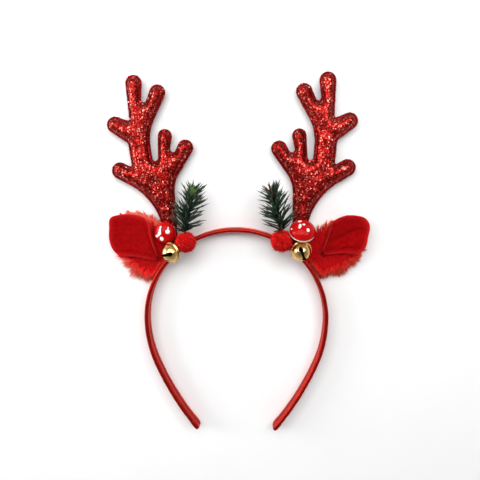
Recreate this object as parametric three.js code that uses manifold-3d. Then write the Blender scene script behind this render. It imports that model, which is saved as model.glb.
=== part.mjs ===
// A reindeer headband: a satin-wrapped hoop that carries a pair of padded antlers, a pair of
// gathered ears with fur backs, and on each side a sprig, a pompom, a mushroom and a jingle bell.
// Millimetres. It lies on its back: +X to the right, +Y from the hoop to the antlers and +Z to the
// front. Left and right are as seen from the front. The origin is on the hoop's back edge, in the
// middle of the crown.
import * as THREE from "three";
import { mergeVertices } from "three/addons/utils/BufferGeometryUtils.js";
import Module from "manifold-3d";

const wasm = await Module();
wasm.setup();

// Air that is left between pieces that touch, and how near two vertices are to be one.
const GAP = 0.3;
const WELD = 1e-4;

// Hoop: the outer face of one half is a chain of tangent arcs from the crown to the tip.
const HOOP_THICKNESS = 3;
const HOOP_EDGE = 0.8;
const HOOP_DEPTH = 10;
const HOOP_ARCS = [
  { radius: 65.2, sweep: 90, steps: 14 },
  { radius: 86, sweep: 22.7, steps: 4 },
  { radius: 210, sweep: 15.9, steps: 3 },
];
const HOOP_CENTRE = new THREE.Vector2(0, HOOP_THICKNESS / 2 - HOOP_ARCS[0].radius);
const HOOP_ROOM = { height: 60, sides: 120 };

// Antler: its outline is a belt laid round pegs, counter-clockwise from the root. The belt runs
// outside a tine's peg and inside a crotch's. x is outwards and y upwards from the visible root.
const ANTLER_PEGS = [
  { name: "root", x: -0.2, y: -32, radius: 5.3, crotch: false, steps: 6 },
  { name: "underside", x: 49, y: -10.6, radius: 44.3, crotch: true, steps: 6 },
  { name: "low tine", x: 33.2, y: 37.9, radius: 5.8, crotch: false, steps: 6 },
  { name: "low crotch", x: 25.8, y: 41.5, radius: 0.9, crotch: true, steps: 3 },
  { name: "trunk side", x: 28.5, y: 55.3, radius: 2, crotch: true, steps: 2 },
  { name: "outer tine", x: 34.9, y: 69.1, radius: 5.6, crotch: false, steps: 6 },
  { name: "outer crotch", x: 25.7, y: 72.6, radius: 0.9, crotch: true, steps: 3 },
  { name: "top tine", x: 20.5, y: 96.3, radius: 5.6, crotch: false, steps: 6 },
  { name: "top crotch", x: 14.2, y: 85.2, radius: 1.8, crotch: true, steps: 4 },
  { name: "second tine", x: 4.6, y: 89.5, radius: 5.5, crotch: false, steps: 6 },
  { name: "trunk bow", x: -22, y: 56.9, radius: 33.3, crotch: true, steps: 5 },
  { name: "branch crotch", x: 8.3, y: 45.8, radius: 2, crotch: true, steps: 4 },
  { name: "branch tine", x: 0.9, y: 60.4, radius: 4.9, crotch: false, steps: 6 },
  { name: "inner crotch", x: -4.2, y: 51.4, radius: 2, crotch: true, steps: 4 },
  { name: "inner tine", x: -12.9, y: 52.2, radius: 5.5, crotch: false, steps: 6 },
  { name: "root bow", x: -26.6, y: 22.4, radius: 22.5, crotch: true, steps: 4 },
];
// From the sewn rim to the padded front: how far inside the outline, how far from mid-thickness.
const ANTLER_PAD = [
  { inset: 0, rise: 0.7 },
  { inset: 1.3, rise: 0.7 },
  { inset: 1.5, rise: 1.9 },
  { inset: 2.4, rise: 3.4 },
  { inset: 4.1, rise: 4.5 },
];
const ANTLER_MIDDLE = ANTLER_PAD.at(-1).rise;

// Ear: rims round the point where it is gathered, as an angle from outwards and a reach.
const VELVET_WALL = 2;
const VELVET_RIM = [
  { angle: 5, left: 27.5, right: 25.5 },
  { angle: 12, left: 32.4, right: 31.6 },
  { angle: 22, left: 37.4, right: 35.8 },
  { angle: 32, left: 41.8, right: 40.4 },
  { angle: 40, left: 46.4, right: 40.6 },
  { angle: 48, left: 44.2, right: 37.4 },
  { angle: 57, left: 41, right: 33.2 },
  { angle: 66, left: 35.2, right: 27.8 },
  { angle: 73, left: 28, right: 23 },
];
const FUR_RIM = [
  { angle: -80, left: 12, right: 14.5 },
  { angle: -58, left: 13.5, right: 14 },
  { angle: -36, left: 16.8, right: 17.5 },
  { angle: -14, left: 20, right: 22 },
  { angle: 5, left: 26, right: 28.5 },
  { angle: 22, left: 35, right: 33.5 },
  { angle: 40, left: 43.5, right: 38 },
  { angle: 57, left: 38, right: 31 },
  { angle: 73, left: 30, right: 21.5 },
  { angle: 90, left: 24, right: 17 },
  { angle: 112, left: 16, right: 14.5 },
  { angle: 140, left: 7, right: 12 },
  { angle: 180, left: 9, right: 12 },
  { angle: 225, left: 9, right: 12 },
];
const VELVET_RIBS = 12;
const VELVET_STEPS = 6;
const FUR_RIBS = 24;
const FUR_STEPS = 3;
const EAR_GATHER = 0.08; // share of a rib where the gathered velvet starts
const FOLD_BOW = { lower: 5, upper: -2 }; // degrees that a fold turns up between gather and rim
const EAR_EDGE_BACK = 8.5; // height of the velvet's back along its two folds
const EAR_CUP = 3.6; // depth of the valley between the folds
const EAR_CUP_SHARPNESS = 1.5;
const EAR_CUP_WAVE = 0.75; // share of half a wave that the valley's depth follows from gather to rim
const FLAP_DROP = 3.2; // fall of the fur outside the folds, from the gather to the rim
const FLAP_EASE = 25; // degrees beyond a fold where the flap falls fully
const FUR_GAP = 1.2;
const FUR_RIM_HEIGHT = 1.6;
const FUR_FLOOR_SHARE = 0.92; // share of the fur's rim that its flat back takes up
const FUR_TOP_SHARE = 0.97;
const FUR_NOTCH = -100; // angle that no rib crosses, where the count of degrees starts
const FUR_LOCK = { every: 10, from: -84, to: 116, width: 2.1, length: 6.5, sides: 4, sunk: 2.6 };

// Sprig: a twig that leaves the hoop's outer face, with needles in whorls all along it.
const TWIG_RADIUS = 0.9;
const TWIG_SIDES = 6;
const TWIG_STEPS = 7;
const TWIG_HEIGHTS = [
  { share: 0, height: 4.5 },
  { share: 0.22, height: 8.6 },
  { share: 0.5, height: 11.4 },
  { share: 1, height: 12.4 },
];
const NEEDLE = { radius: 0.62, sides: 3, length: 16, tipLength: 10.5 };
const NEEDLE_WHORLS = 9;
const NEEDLE_SPAN = { from: 0.32, to: 0.99 }; // shares of the twig
const NEEDLE_SPREAD = { foot: 52, tip: 30 };
const NEEDLE_AZIMUTHS = [22, 62, 104, 146, 188];
const NEEDLE_TWIST = 14;

// Pompom: a core with locks, flattened where it is glued to the hoop.
const POMPOM_CORE = 5.2;
const POMPOM_REACH = 7.2;
const POMPOM_LOCKS = 24;
const POMPOM_LOCK = { width: 2, sides: 4, from: 3.6 };

// Mushroom: a domed cap over a pale underside with the stub of a stem.
const CAP_HEIGHT_SHARE = 0.78;
const CAP_LIP = 0.9;
const CAP_SIDES = 18;
const CAP_STEPS = 5;
const UNDERSIDE = { thickness: 1.2, inset: 0.5, topEdge: 0.5, bottomEdge: 0.8 };
const STEM_RADIUS = 2.2;

// Jingle bell: a thin shell with a rolled ridge round it and one slot with round ends.
const BELL_RADIUS = 6.6;
const BELL_WALL = 0.6;
const BELL_RIDGE = { radius: 7.3, height: 1.1 };
const BELL_SIDES = 14;
const BELL_ROWS = 10;
const BELL_SLOT = { length: 7.4, width: 1.7, endRadius: 1.45, endSides: 8 };

// Places of one side's pieces, as distances outwards, upwards and to the front. Directions too.
const SIDES = {
  left: {
    mirror: -1,
    antler: { root: [46.2, 3.9], lean: -1.7 },
    gather: [52.5, -22],
    sprig: { foot: [37.5, -10.5], tip: [28.9, 26] },
    pompom: [33.9, -7.7, 15.4],
    mushroom: { middle: [48.2, -1.5, 11.3], axis: [0.2, -0.03, 0.97], radius: 7.6, stem: 0.95 },
    bell: { middle: [43.8, -14.7, 16.7], pole: [0.52, -0.18, 0.84], slot: [-7.8, 2.1, 0] },
  },
  right: {
    mirror: 1,
    antler: { root: [44, 3.9], lean: 1.7 },
    gather: [57.7, -17.5],
    sprig: { foot: [34.8, -9], tip: [24.6, 25.5] },
    pompom: [31.3, -6.6, 15.4],
    mushroom: { middle: [45.1, -0.1, 16.4], axis: [0.05, 0.75, 0.66], radius: 8.8, stem: 4 },
    bell: { middle: [44.6, -13.3, 16.6], pole: [0.1, -0.25, 0.96], slot: [3.8, -10.3, 0] },
  },
};

const FINISHES = {
  satin: { color: 0xaa1417, roughness: 0.38, metalness: 0 },
  glitter: { color: 0xbe191b, roughness: 0.3, metalness: 0.55 },
  velvet: { color: 0xaf0a10, roughness: 0.95, metalness: 0 },
  fur: { color: 0xdc2d2a, roughness: 0.9, metalness: 0 },
  yarn: { color: 0xd71919, roughness: 0.95, metalness: 0 },
  lacquer: { color: 0xcd0a0a, roughness: 0.12, metalness: 0 },
  cream: { color: 0xf0dcc8, roughness: 0.6, metalness: 0 },
  gold: { color: 0xc8a85a, roughness: 0.22, metalness: 1 },
  needle: { color: 0x1c3222, roughness: 0.5, metalness: 0 },
};

const UP = new THREE.Vector3(0, 1, 0);
const FRONT = new THREE.Vector3(0, 0, 1);
const { MathUtils } = THREE;
const { lerp, degToRad: radians } = MathUtils;

// A closed geometry as a solid that can be joined and cut.
function solid(geometry) {
  const bare = new THREE.BufferGeometry();
  bare.setAttribute("position", geometry.getAttribute("position"));
  bare.setIndex(geometry.getIndex());
  const welded = mergeVertices(bare, WELD);
  return new wasm.Manifold(
    new wasm.Mesh({
      numProp: 3,
      vertProperties: welded.getAttribute("position").array,
      triVerts: Uint32Array.from(welded.getIndex().array),
    }),
  );
}

// A solid as a geometry.
function geometryOf(shape) {
  const mesh = shape.getMesh();
  const geometry = new THREE.BufferGeometry();
  geometry.setAttribute("position", new THREE.BufferAttribute(mesh.vertProperties, 3));
  geometry.setIndex(new THREE.BufferAttribute(mesh.triVerts, 1));
  return geometry;
}

function meshOf(name, geometry, finish) {
  const mesh = new THREE.Mesh(geometry, new THREE.MeshStandardMaterial(FINISHES[finish]));
  mesh.name = name;
  return mesh;
}

function indexed(points, index) {
  return new THREE.BufferGeometry().setFromPoints(points).setIndex(index);
}

// A closed skin over rings of equally many points, with its two end rings filled.
function skin(rings, capFaces) {
  const count = rings[0].length;
  const last = (rings.length - 1) * count;
  const index = [];
  for (let from = 0; from < last; from += count) {
    for (let i = 0; i < count; i += 1) {
      const a = from + i;
      const b = from + ((i + 1) % count);
      index.push(a, b, b + count, a, b + count, a + count);
    }
  }
  for (const [a, b, c] of capFaces) {
    index.push(a, c, b, last + a, last + b, last + c);
  }
  return indexed(rings.flat(), index);
}

// A closed wall between two grids of points, whose rows run counter-clockwise seen from the front.
function wall(front, back) {
  const rows = front.length;
  const columns = front[0].length;
  const behind = rows * columns;
  const index = [];
  const quad = (a, b, c, d) => index.push(a, b, c, a, c, d);
  const at = (row, column) => row * columns + column;
  for (let r = 0; r + 1 < rows; r += 1) {
    for (let c = 0; c + 1 < columns; c += 1) {
      const corners = [at(r, c), at(r, c + 1), at(r + 1, c + 1), at(r + 1, c)];
      quad(...corners);
      quad(...corners.reverse().map((corner) => corner + behind));
    }
  }
  const edge = [];
  for (let c = 0; c < columns; c += 1) edge.push(at(0, c));
  for (let r = 1; r < rows; r += 1) edge.push(at(r, columns - 1));
  for (let c = columns - 2; c >= 0; c -= 1) edge.push(at(rows - 1, c));
  for (let r = rows - 2; r > 0; r -= 1) edge.push(at(r, 0));
  edge.forEach((a, i) => {
    const b = edge[(i + 1) % edge.length];
    quad(a, a + behind, b + behind, b);
  });
  return indexed([...front.flat(), ...back.flat()], index);
}

// A pointed lock or needle from its foot along a direction.
function spike(foot, direction, length, radius, sides) {
  const turn = new THREE.Quaternion().setFromUnitVectors(UP, direction);
  return new THREE.ConeGeometry(radius, length, sides)
    .translate(0, length / 2, 0)
    .applyQuaternion(turn)
    .translate(foot.x, foot.y, foot.z);
}

function hoopStations() {
  const half = [];
  let turned = 0;
  let centre = HOOP_CENTRE;
  let radius = HOOP_ARCS[0].radius;
  const outwards = (degrees) => {
    const angle = radians(degrees);
    return new THREE.Vector2(Math.sin(angle), Math.cos(angle));
  };
  HOOP_ARCS.forEach((arc, row) => {
    centre = centre.clone().addScaledVector(outwards(turned), radius - arc.radius);
    radius = arc.radius;
    const lead = row === 0 ? 0.5 : 0; // the crown's middle lies halfway between two stations
    for (let step = 1; step <= arc.steps; step += 1) {
      const normal = outwards(turned + (arc.sweep * (step - lead)) / (arc.steps - lead));
      half.push({ normal, point: centre.clone().addScaledVector(normal, radius) });
    }
    turned += arc.sweep;
  });
  const mirrored = half.map(({ normal, point }) => ({
    normal: new THREE.Vector2(-normal.x, normal.y),
    point: new THREE.Vector2(-point.x, point.y),
  }));
  return [...half.reverse(), ...mirrored];
}

function hoop() {
  const section = [
    [0, -HOOP_EDGE], [HOOP_EDGE, 0], [HOOP_DEPTH - HOOP_EDGE, 0], [HOOP_DEPTH, -HOOP_EDGE],
    [HOOP_DEPTH, HOOP_EDGE - HOOP_THICKNESS], [HOOP_DEPTH - HOOP_EDGE, -HOOP_THICKNESS],
    [HOOP_EDGE, -HOOP_THICKNESS], [0, HOOP_EDGE - HOOP_THICKNESS],
  ];
  const rings = hoopStations().map(({ normal, point }) =>
    section.map(([z, out]) => {
      const { x, y } = point.clone().addScaledVector(normal, out);
      return new THREE.Vector3(x, y, z);
    }).reverse(),
  );
  const capFaces = [];
  for (let i = 1; i + 1 < rings[0].length; i += 1) capFaces.push([0, i, i + 1]);
  return skin(rings, capFaces);
}

// The space that the hoop keeps clear inside its outer face.
function hoopRoom() {
  const { height, sides } = HOOP_ROOM;
  const radius = HOOP_ARCS[0].radius + GAP;
  const disc = new THREE.CylinderGeometry(radius, radius, height, sides);
  return solid(disc.rotateX(Math.PI / 2).translate(HOOP_CENTRE.x, HOOP_CENTRE.y, 0));
}

// The antler's outline, moved inwards by an inset: round each peg an arc, with tangents between.
function antlerOutline(inset) {
  const pegs = ANTLER_PEGS.map(({ x, y, radius, crotch, steps }) => ({
    centre: new THREE.Vector2(x, y),
    radius: crotch ? -radius - inset : radius - inset,
    steps,
  }));
  const normals = pegs.map((peg, i) => {
    const next = pegs[(i + 1) % pegs.length];
    const way = next.centre.clone().sub(peg.centre);
    const lean = Math.asin((next.radius - peg.radius) / way.length());
    return way.angle() - lean - Math.PI / 2;
  });
  return pegs.flatMap(({ centre, radius, steps }, i) => {
    const from = normals.at(i - 1);
    const turn = MathUtils.euclideanModulo(normals[i] - from + Math.PI, 2 * Math.PI) - Math.PI;
    const sweep = radius > 0 && turn < 0 ? turn + 2 * Math.PI : turn;
    return Array.from({ length: steps + 1 }, (_, step) => {
      const angle = from + (sweep * step) / steps;
      return new THREE.Vector2(Math.cos(angle), Math.sin(angle)).multiplyScalar(radius).add(centre);
    });
  });
}

// The padded antler with its whole root, or grown by an allowance to give the room it needs.
function antler({ root, lean }, grown = 0) {
  const layers = [
    ...ANTLER_PAD.map(({ inset, rise }) => ({ inset, height: -rise - grown })).reverse(),
    ...ANTLER_PAD.map(({ inset, rise }) => ({ inset, height: rise + grown })),
  ];
  const rings = layers.map(({ inset, height }) =>
    antlerOutline(inset - grown).map(({ x, y }) => new THREE.Vector3(x, y, height)),
  );
  const top = rings.at(-1).map(({ x, y }) => new THREE.Vector2(x, y));
  const geometry = skin(rings, THREE.ShapeUtils.triangulateShape(top, []))
    .rotateZ(radians(lean))
    .translate(root[0], root[1], ANTLER_MIDDLE);
  return solid(geometry);
}

// Points of a smooth rim round an ear's gather.
function rimPoints(rows, side, count, closed) {
  const knots = rows.map((row) => {
    const angle = radians(row.angle);
    return new THREE.Vector3(Math.cos(angle), Math.sin(angle), 0).multiplyScalar(row[side]);
  });
  const points = new THREE.CatmullRomCurve3(knots, closed, "centripetal").getSpacedPoints(count);
  return closed ? points.slice(0, -1) : points;
}

// Height of the velvet's back, and of the fur under it, along a rib at an angle.
function leafHeight(angle, along) {
  const lower = VELVET_RIM[0].angle;
  const upper = VELVET_RIM.at(-1).angle;
  const across = (angle - lower) / (upper - lower);
  if (across > 0 && across < 1) {
    const valley = 1 - Math.abs(2 * across - 1) ** EAR_CUP_SHARPNESS;
    return EAR_EDGE_BACK - EAR_CUP * valley * Math.sin(Math.PI * EAR_CUP_WAVE * along);
  }
  const beyond = Math.min(Math.abs(angle - lower), Math.abs(angle - upper)) / FLAP_EASE;
  return EAR_EDGE_BACK - FLAP_DROP * along * Math.min(beyond, 1);
}

function angleOf(point) {
  const degrees = MathUtils.radToDeg(Math.atan2(point.y, point.x));
  return degrees < FUR_NOTCH ? degrees + 360 : degrees;
}

function velvetEar(side, [x, y]) {
  const rim = rimPoints(VELVET_RIM, side, VELVET_RIBS, false);
  const layer = (thickness) => rim.map((end) =>
    Array.from({ length: VELVET_STEPS + 1 }, (_, step) => {
      const along = lerp(EAR_GATHER, 1, step / VELVET_STEPS);
      const angle = angleOf(end);
      const across = MathUtils.inverseLerp(VELVET_RIM[0].angle, VELVET_RIM.at(-1).angle, angle);
      const bow = lerp(FOLD_BOW.lower, FOLD_BOW.upper, across) * Math.sin(Math.PI * along);
      const point = end.clone().multiplyScalar(along).applyAxisAngle(FRONT, radians(bow));
      return point.setZ(leafHeight(angle, along) + thickness);
    }),
  );
  return wall(layer(VELVET_WALL), layer(0)).translate(x, y, 0);
}

function furBack(side, { gather: [x, y], antler: place }) {
  const rim = rimPoints(FUR_RIM, side, FUR_RIBS, true);
  const ringAt = (along, heightOf) => rim.map((end) => {
    const point = end.clone().multiplyScalar(along);
    return point.setZ(heightOf(angleOf(end), along));
  });
  const topOf = (angle, along) => leafHeight(angle, along) - FUR_GAP;
  const rings = [ringAt(FUR_FLOOR_SHARE, () => 0), ringAt(1, () => FUR_RIM_HEIGHT)];
  for (let step = FUR_STEPS; step > 0; step -= 1) {
    rings.push(ringAt((FUR_TOP_SHARE * step) / FUR_STEPS, topOf));
  }
  const points = rings.flat();
  const floor = points.length;
  const crown = floor + 1;
  const last = floor - rim.length;
  const index = [...skin(rings, []).getIndex().array];
  rim.forEach((_, i) => {
    const next = (i + 1) % rim.length;
    index.push(floor, next, i, crown, last + i, last + next);
  });
  points.push(new THREE.Vector3(), new THREE.Vector3(0, 0, topOf(0, 0)));
  const shapes = [solid(indexed(points, index))];
  for (let angle = FUR_LOCK.from; angle <= FUR_LOCK.to; angle += FUR_LOCK.every) {
    const off = (point) => Math.abs(angleOf(point) - angle);
    const end = rim.reduce((best, point) => (off(point) < off(best) ? point : best));
    const way = end.clone().normalize();
    const foot = end.clone().addScaledVector(way, -FUR_LOCK.sunk).setZ(FUR_LOCK.width);
    shapes.push(solid(spike(foot, way, FUR_LOCK.length, FUR_LOCK.width, FUR_LOCK.sides)));
  }
  const whole = solid(geometryOf(wasm.Manifold.union(shapes)).translate(x, y, 0));
  return whole.subtract(antler(place, GAP).add(hoopRoom()));
}

function sprig({ foot, tip }, grown = 0) {
  const twigPoints = TWIG_HEIGHTS.map(({ share, height }) =>
    new THREE.Vector3(lerp(foot[0], tip[0], share), lerp(foot[1], tip[1], share), height),
  );
  const twig = new THREE.CatmullRomCurve3(twigPoints);
  const section = new THREE.Shape(
    Array.from({ length: TWIG_SIDES }, (_, i) => {
      const angle = (2 * Math.PI * i) / TWIG_SIDES;
      return new THREE.Vector2(Math.cos(angle), Math.sin(angle)).multiplyScalar(TWIG_RADIUS + grown);
    }),
  );
  const sweep = { extrudePath: twig, steps: TWIG_STEPS, bevelEnabled: false };
  const shapes = [solid(new THREE.ExtrudeGeometry(section, sweep))];
  for (let whorl = 0; whorl < NEEDLE_WHORLS; whorl += 1) {
    const share = whorl / (NEEDLE_WHORLS - 1);
    const at = lerp(NEEDLE_SPAN.from, NEEDLE_SPAN.to, share);
    const base = twig.getPointAt(at);
    const ahead = twig.getTangentAt(at);
    const outwards = new THREE.Vector3().crossVectors(ahead, FRONT).normalize();
    const forwards = new THREE.Vector3().crossVectors(outwards, ahead);
    const spread = radians(lerp(NEEDLE_SPREAD.foot, NEEDLE_SPREAD.tip, share));
    NEEDLE_AZIMUTHS.forEach((azimuth) => {
      const turn = radians(azimuth + (whorl % 2) * NEEDLE_TWIST);
      const way = ahead.clone().multiplyScalar(Math.cos(spread))
        .addScaledVector(outwards, Math.sin(spread) * Math.cos(turn))
        .addScaledVector(forwards, Math.sin(spread) * Math.sin(turn));
      const length = lerp(NEEDLE.length, NEEDLE.tipLength, share);
      shapes.push(solid(spike(base, way.normalize(), length, NEEDLE.radius + grown, NEEDLE.sides)));
    });
  }
  return wasm.Manifold.union(shapes);
}

// A pompom with evenly spread locks, less the room of its hard neighbours.
function pompom(middle, neighbours) {
  const shapes = [solid(new THREE.IcosahedronGeometry(POMPOM_CORE, 1))];
  for (let lock = 0; lock < POMPOM_LOCKS; lock += 1) {
    const height = 1 - (2 * lock + 1) / POMPOM_LOCKS;
    const turn = lock * Math.PI * (3 - Math.sqrt(5));
    const way = new THREE.Vector3().setFromSphericalCoords(1, Math.acos(height), turn);
    const foot = way.clone().multiplyScalar(POMPOM_LOCK.from);
    const length = POMPOM_REACH - POMPOM_LOCK.from;
    shapes.push(solid(spike(foot, way, length, POMPOM_LOCK.width, POMPOM_LOCK.sides)));
  }
  const ball = solid(geometryOf(wasm.Manifold.union(shapes)).translate(...middle));
  const seated = ball.trimByPlane(FRONT.toArray(), HOOP_DEPTH + GAP);
  return neighbours.reduce((shape, neighbour) => shape.subtract(neighbour), seated);
}

function lathe(profile) {
  return new THREE.LatheGeometry(profile.map(([r, y]) => new THREE.Vector2(r, y)), CAP_SIDES);
}

function mushroomCap(radius) {
  const profile = [[0, GAP], [radius - CAP_LIP, GAP]];
  for (let step = 0; step <= CAP_STEPS; step += 1) {
    const angle = (Math.PI / 2) * (step / CAP_STEPS);
    const height = CAP_LIP + (radius * CAP_HEIGHT_SHARE - CAP_LIP) * Math.sin(angle);
    profile.push([step === CAP_STEPS ? 0 : radius * Math.cos(angle), height]);
  }
  return lathe(profile);
}

function mushroomUnderside(radius, stem) {
  const { thickness, inset, topEdge, bottomEdge } = UNDERSIDE;
  const rim = radius - inset;
  return lathe([
    [0, -thickness - stem],
    [STEM_RADIUS, -thickness - stem],
    [STEM_RADIUS, -thickness],
    [rim - bottomEdge, -thickness],
    [rim, -thickness / 2],
    [rim - topEdge, 0],
    [0, 0],
  ]);
}

// A jingle bell whose slotted pole points along +Y and whose slot runs along X.
function bell() {
  const ball = (radius) => solid(new THREE.SphereGeometry(radius, BELL_SIDES, BELL_ROWS));
  const { radius, height } = BELL_RIDGE;
  const ridge = solid(new THREE.CylinderGeometry(radius, radius, height, BELL_SIDES));
  const { length, width, endRadius, endSides } = BELL_SLOT;
  const cuts = [solid(new THREE.BoxGeometry(length, BELL_RADIUS, width).translate(0, BELL_RADIUS, 0))];
  for (const end of [-length / 2, length / 2]) {
    const drill = new THREE.CylinderGeometry(endRadius, endRadius, BELL_RADIUS, endSides);
    cuts.push(solid(drill.translate(end, BELL_RADIUS, 0)));
  }
  const shell = ball(BELL_RADIUS).add(ridge).subtract(ball(BELL_RADIUS - BELL_WALL));
  return geometryOf(cuts.reduce((shape, cut) => shape.subtract(cut), shell));
}

function bellTurn({ pole, slot }) {
  const y = new THREE.Vector3(...pole).normalize();
  const z = new THREE.Vector3().crossVectors(new THREE.Vector3(...slot), y).normalize();
  const x = new THREE.Vector3().crossVectors(y, z);
  return new THREE.Quaternion().setFromRotationMatrix(new THREE.Matrix4().makeBasis(x, y, z));
}

// Room round the bell that the soft pompom gives way to.
function bellRoom({ middle }) {
  const ball = new THREE.SphereGeometry(BELL_RIDGE.radius + GAP, BELL_SIDES, BELL_ROWS);
  return solid(ball.translate(...middle));
}

// Everything on one side of the hoop, built outwards along +X and then mirrored for the left.
function trim(side) {
  const place = SIDES[side];
  const group = new THREE.Group();
  group.scale.x = place.mirror;
  const add = (name, geometry, finish) => {
    const mesh = meshOf(`${name}_${side}`, geometry, finish);
    group.add(mesh);
    return mesh;
  };
  add("antler", geometryOf(antler(place.antler).subtract(hoopRoom())), "glitter");
  add("ear", velvetEar(side, place.gather), "velvet");
  add("ear_fur", geometryOf(furBack(side, place)), "fur");
  add("pine_sprig", geometryOf(sprig(place.sprig).subtract(hoopRoom())), "needle");
  const neighbours = [bellRoom(place.bell), sprig(place.sprig, GAP)];
  add("pompom", geometryOf(pompom(place.pompom, neighbours)), "yarn");

  const { middle, axis, radius, stem } = place.mushroom;
  const mushroom = new THREE.Group();
  mushroom.position.set(...middle);
  mushroom.quaternion.setFromUnitVectors(UP, new THREE.Vector3(...axis).normalize());
  mushroom.add(meshOf(`mushroom_cap_${side}`, mushroomCap(radius), "lacquer"));
  mushroom.add(meshOf(`mushroom_underside_${side}`, mushroomUnderside(radius, stem), "cream"));
  group.add(mushroom);

  const jingle = add("bell", bell(), "gold");
  jingle.position.set(...place.bell.middle);
  jingle.quaternion.copy(bellTurn(place.bell));
  return group;
}

const headband = new THREE.Group();
headband.add(meshOf("hoop", hoop(), "satin"));
for (const side of Object.keys(SIDES)) headband.add(trim(side));

export default headband;
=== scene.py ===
import math
from contextlib import contextmanager

import bmesh
import bpy
import numpy as np
from mathutils import Matrix, Vector, noise
from mathutils.bvhtree import BVHTree
from mathutils.geometry import delaunay_2d_cdt


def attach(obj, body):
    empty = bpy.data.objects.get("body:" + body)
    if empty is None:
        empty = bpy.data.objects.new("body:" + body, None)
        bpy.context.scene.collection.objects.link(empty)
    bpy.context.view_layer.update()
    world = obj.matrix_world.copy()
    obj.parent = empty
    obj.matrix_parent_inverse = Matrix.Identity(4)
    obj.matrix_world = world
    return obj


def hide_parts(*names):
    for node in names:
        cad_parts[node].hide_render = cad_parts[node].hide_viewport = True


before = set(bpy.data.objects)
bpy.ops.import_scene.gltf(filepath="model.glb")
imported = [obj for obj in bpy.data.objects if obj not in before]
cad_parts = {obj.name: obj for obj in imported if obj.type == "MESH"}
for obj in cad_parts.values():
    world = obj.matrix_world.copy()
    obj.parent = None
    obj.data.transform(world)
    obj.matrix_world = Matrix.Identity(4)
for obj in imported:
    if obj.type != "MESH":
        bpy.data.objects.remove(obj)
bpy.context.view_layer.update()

# Sizes are in millimetres and angles in degrees. The headband lies on its back, +Y from the hoop
# to the antlers and +Z to the front, with left and right as seen from the front.
MM = 0.001
WELD = 0.001  # points that are nearer than this become one

# Camera, for the photograph's square frame.
VIEW = {"target": (2.8, -7.3, 5.0), "distance": 340, "near": 10, "yaw": 2.0, "rise": 7.3, "lens": 36.4}

# Hoop: the outer face of one half is a chain of tangent arcs from the crown to the tip.
HOOP_THICKNESS = 3
HOOP_DEPTH = 10
HOOP_ARCS = ((65.2, 90), (86, 22.7), (210, 15.9))  # radius, sweep
HOOP_MIDDLE = Vector((0, HOOP_THICKNESS / 2 - HOOP_ARCS[0][0]))
ROOT_GAP = 0.3  # between the hoop's outer face and the antlers' roots
HOOP_STEP = 1.1  # spacing of its rings
HOOP_CORNER = {"back": 0.8, "front": 1.35}
HOOP_CORNER_STEPS = 5
HOOP_CROWN = 0.15  # how far the outer face swells
HOOP_LAP = 0.2  # thickness of the ribbon's edge where it is lapped on the inner face
HOOP_LAP_ROWS = ((0.62, 0), (0.47, 0.05), (0.45, 1), (0.25, 0.8))  # share of the depth, of the lap
HOOP_RIPPLE = {"size": 5.0, "rise": 0.09}
HOOP_CUFF = {"length": 6.5, "rise": 0.14, "rounding": 0.5}
RIBBON_UNIT = 100  # length of one unit of the ribbon's map

# Antler: its outline is a belt laid round pegs, outside a tine's peg and inside a crotch's.
ANTLER_PEGS = (  # outwards, upwards, radius, crotch
    (-0.2, -32, 5.3, False),
    (49, -10.6, 44.3, True),
    (33.2, 37.9, 5.8, False),
    (25.8, 41.5, 0.9, True),
    (28.5, 55.3, 2, True),
    (34.9, 69.1, 5.6, False),
    (25.7, 72.6, 0.9, True),
    (20.5, 96.3, 5.6, False),
    (14.2, 85.2, 1.8, True),
    (4.6, 89.5, 5.5, False),
    (-22, 56.9, 33.3, True),
    (8.3, 45.8, 2, True),
    (0.9, 60.4, 4.9, False),
    (-4.2, 51.4, 2, True),
    (-12.9, 52.2, 5.5, False),
    (-26.6, 22.4, 22.5, True),
)
ANTLER_BACK = 4.5  # height of the seam above the surface
ANTLER_RINGS = (0, 0.3, 0.8, 1.2, 1.5, 1.8, 2.2, 2.8)  # insets of the rows along the seam
ANTLER_STEP = 1.05  # spacing of its points
ANTLER_FILL = {"inside_only": 1, "epsilon": 1e-5}  # how its outline is filled with triangles
TINY = 1e-12  # keeps a division from failing
ANTLER_RIM = {"half": 0.8, "rounding": 0.3, "edge": 0.05}
ANTLER_SEAM = {"inset": 1.5, "depth": 0.45, "width": 0.35}
ANTLER_PUFF = {"rise": 4.1, "reach": 1.6}
ANTLER_PUCKER = {"size": 2.6, "rise": 0.5, "reach": 2.5, "seed": 3.0}
ANTLER_LUMP = {"size": 7, "rise": 0.55, "seed": 5.0}
ANTLER_FLAKES = {"per_mm2": 1.7, "size": 1.05, "tilt": 0.6, "on_rim": 0.12, "seed": 11}
STITCHES = {"pitch": 2.1, "length": 1.4, "width": 0.35}

# Ear: rims round the point where it is gathered, as an angle from outwards and a reach.
VELVET_RIM = (  # angle, left, right
    (5, 28, 25.5),
    (12, 33.8, 31.6),
    (22, 39.2, 35.8),
    (32, 42.9, 40.4),
    (40, 46.4, 40.6),
    (48, 43.4, 37.4),
    (57, 38.6, 33.2),
    (66, 33, 27.8),
    (73, 24.5, 23),
)
VELVET_GRID = 64
VELVET_CROWDING = 0.6  # how far its rows crowd towards the folds
VELVET_WALL = 2
EAR_GATHER = 0.08  # share of its reach that is taken up by the gather
FOLD_BOW = {"left": (5, -2), "right": (2.5, -2)}  # how far the lower and the upper fold bow upwards
FOLD_FLARE = {"left": (0, 5), "right": (-5, 0)}  # how far they turn up at their outer ends
FLARE_POWER = {"across": 6, "along": 3}  # how near the folds and their outer ends the flare begins
EAR_EDGE_BACK = 8.5  # height of the back of its edges
EAR_CUP = 3.6  # how deep it is cupped
EAR_CUP_SHARPNESS = 1.5
EAR_CUP_WAVE = 0.75  # half waves of the cup along the ear
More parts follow.
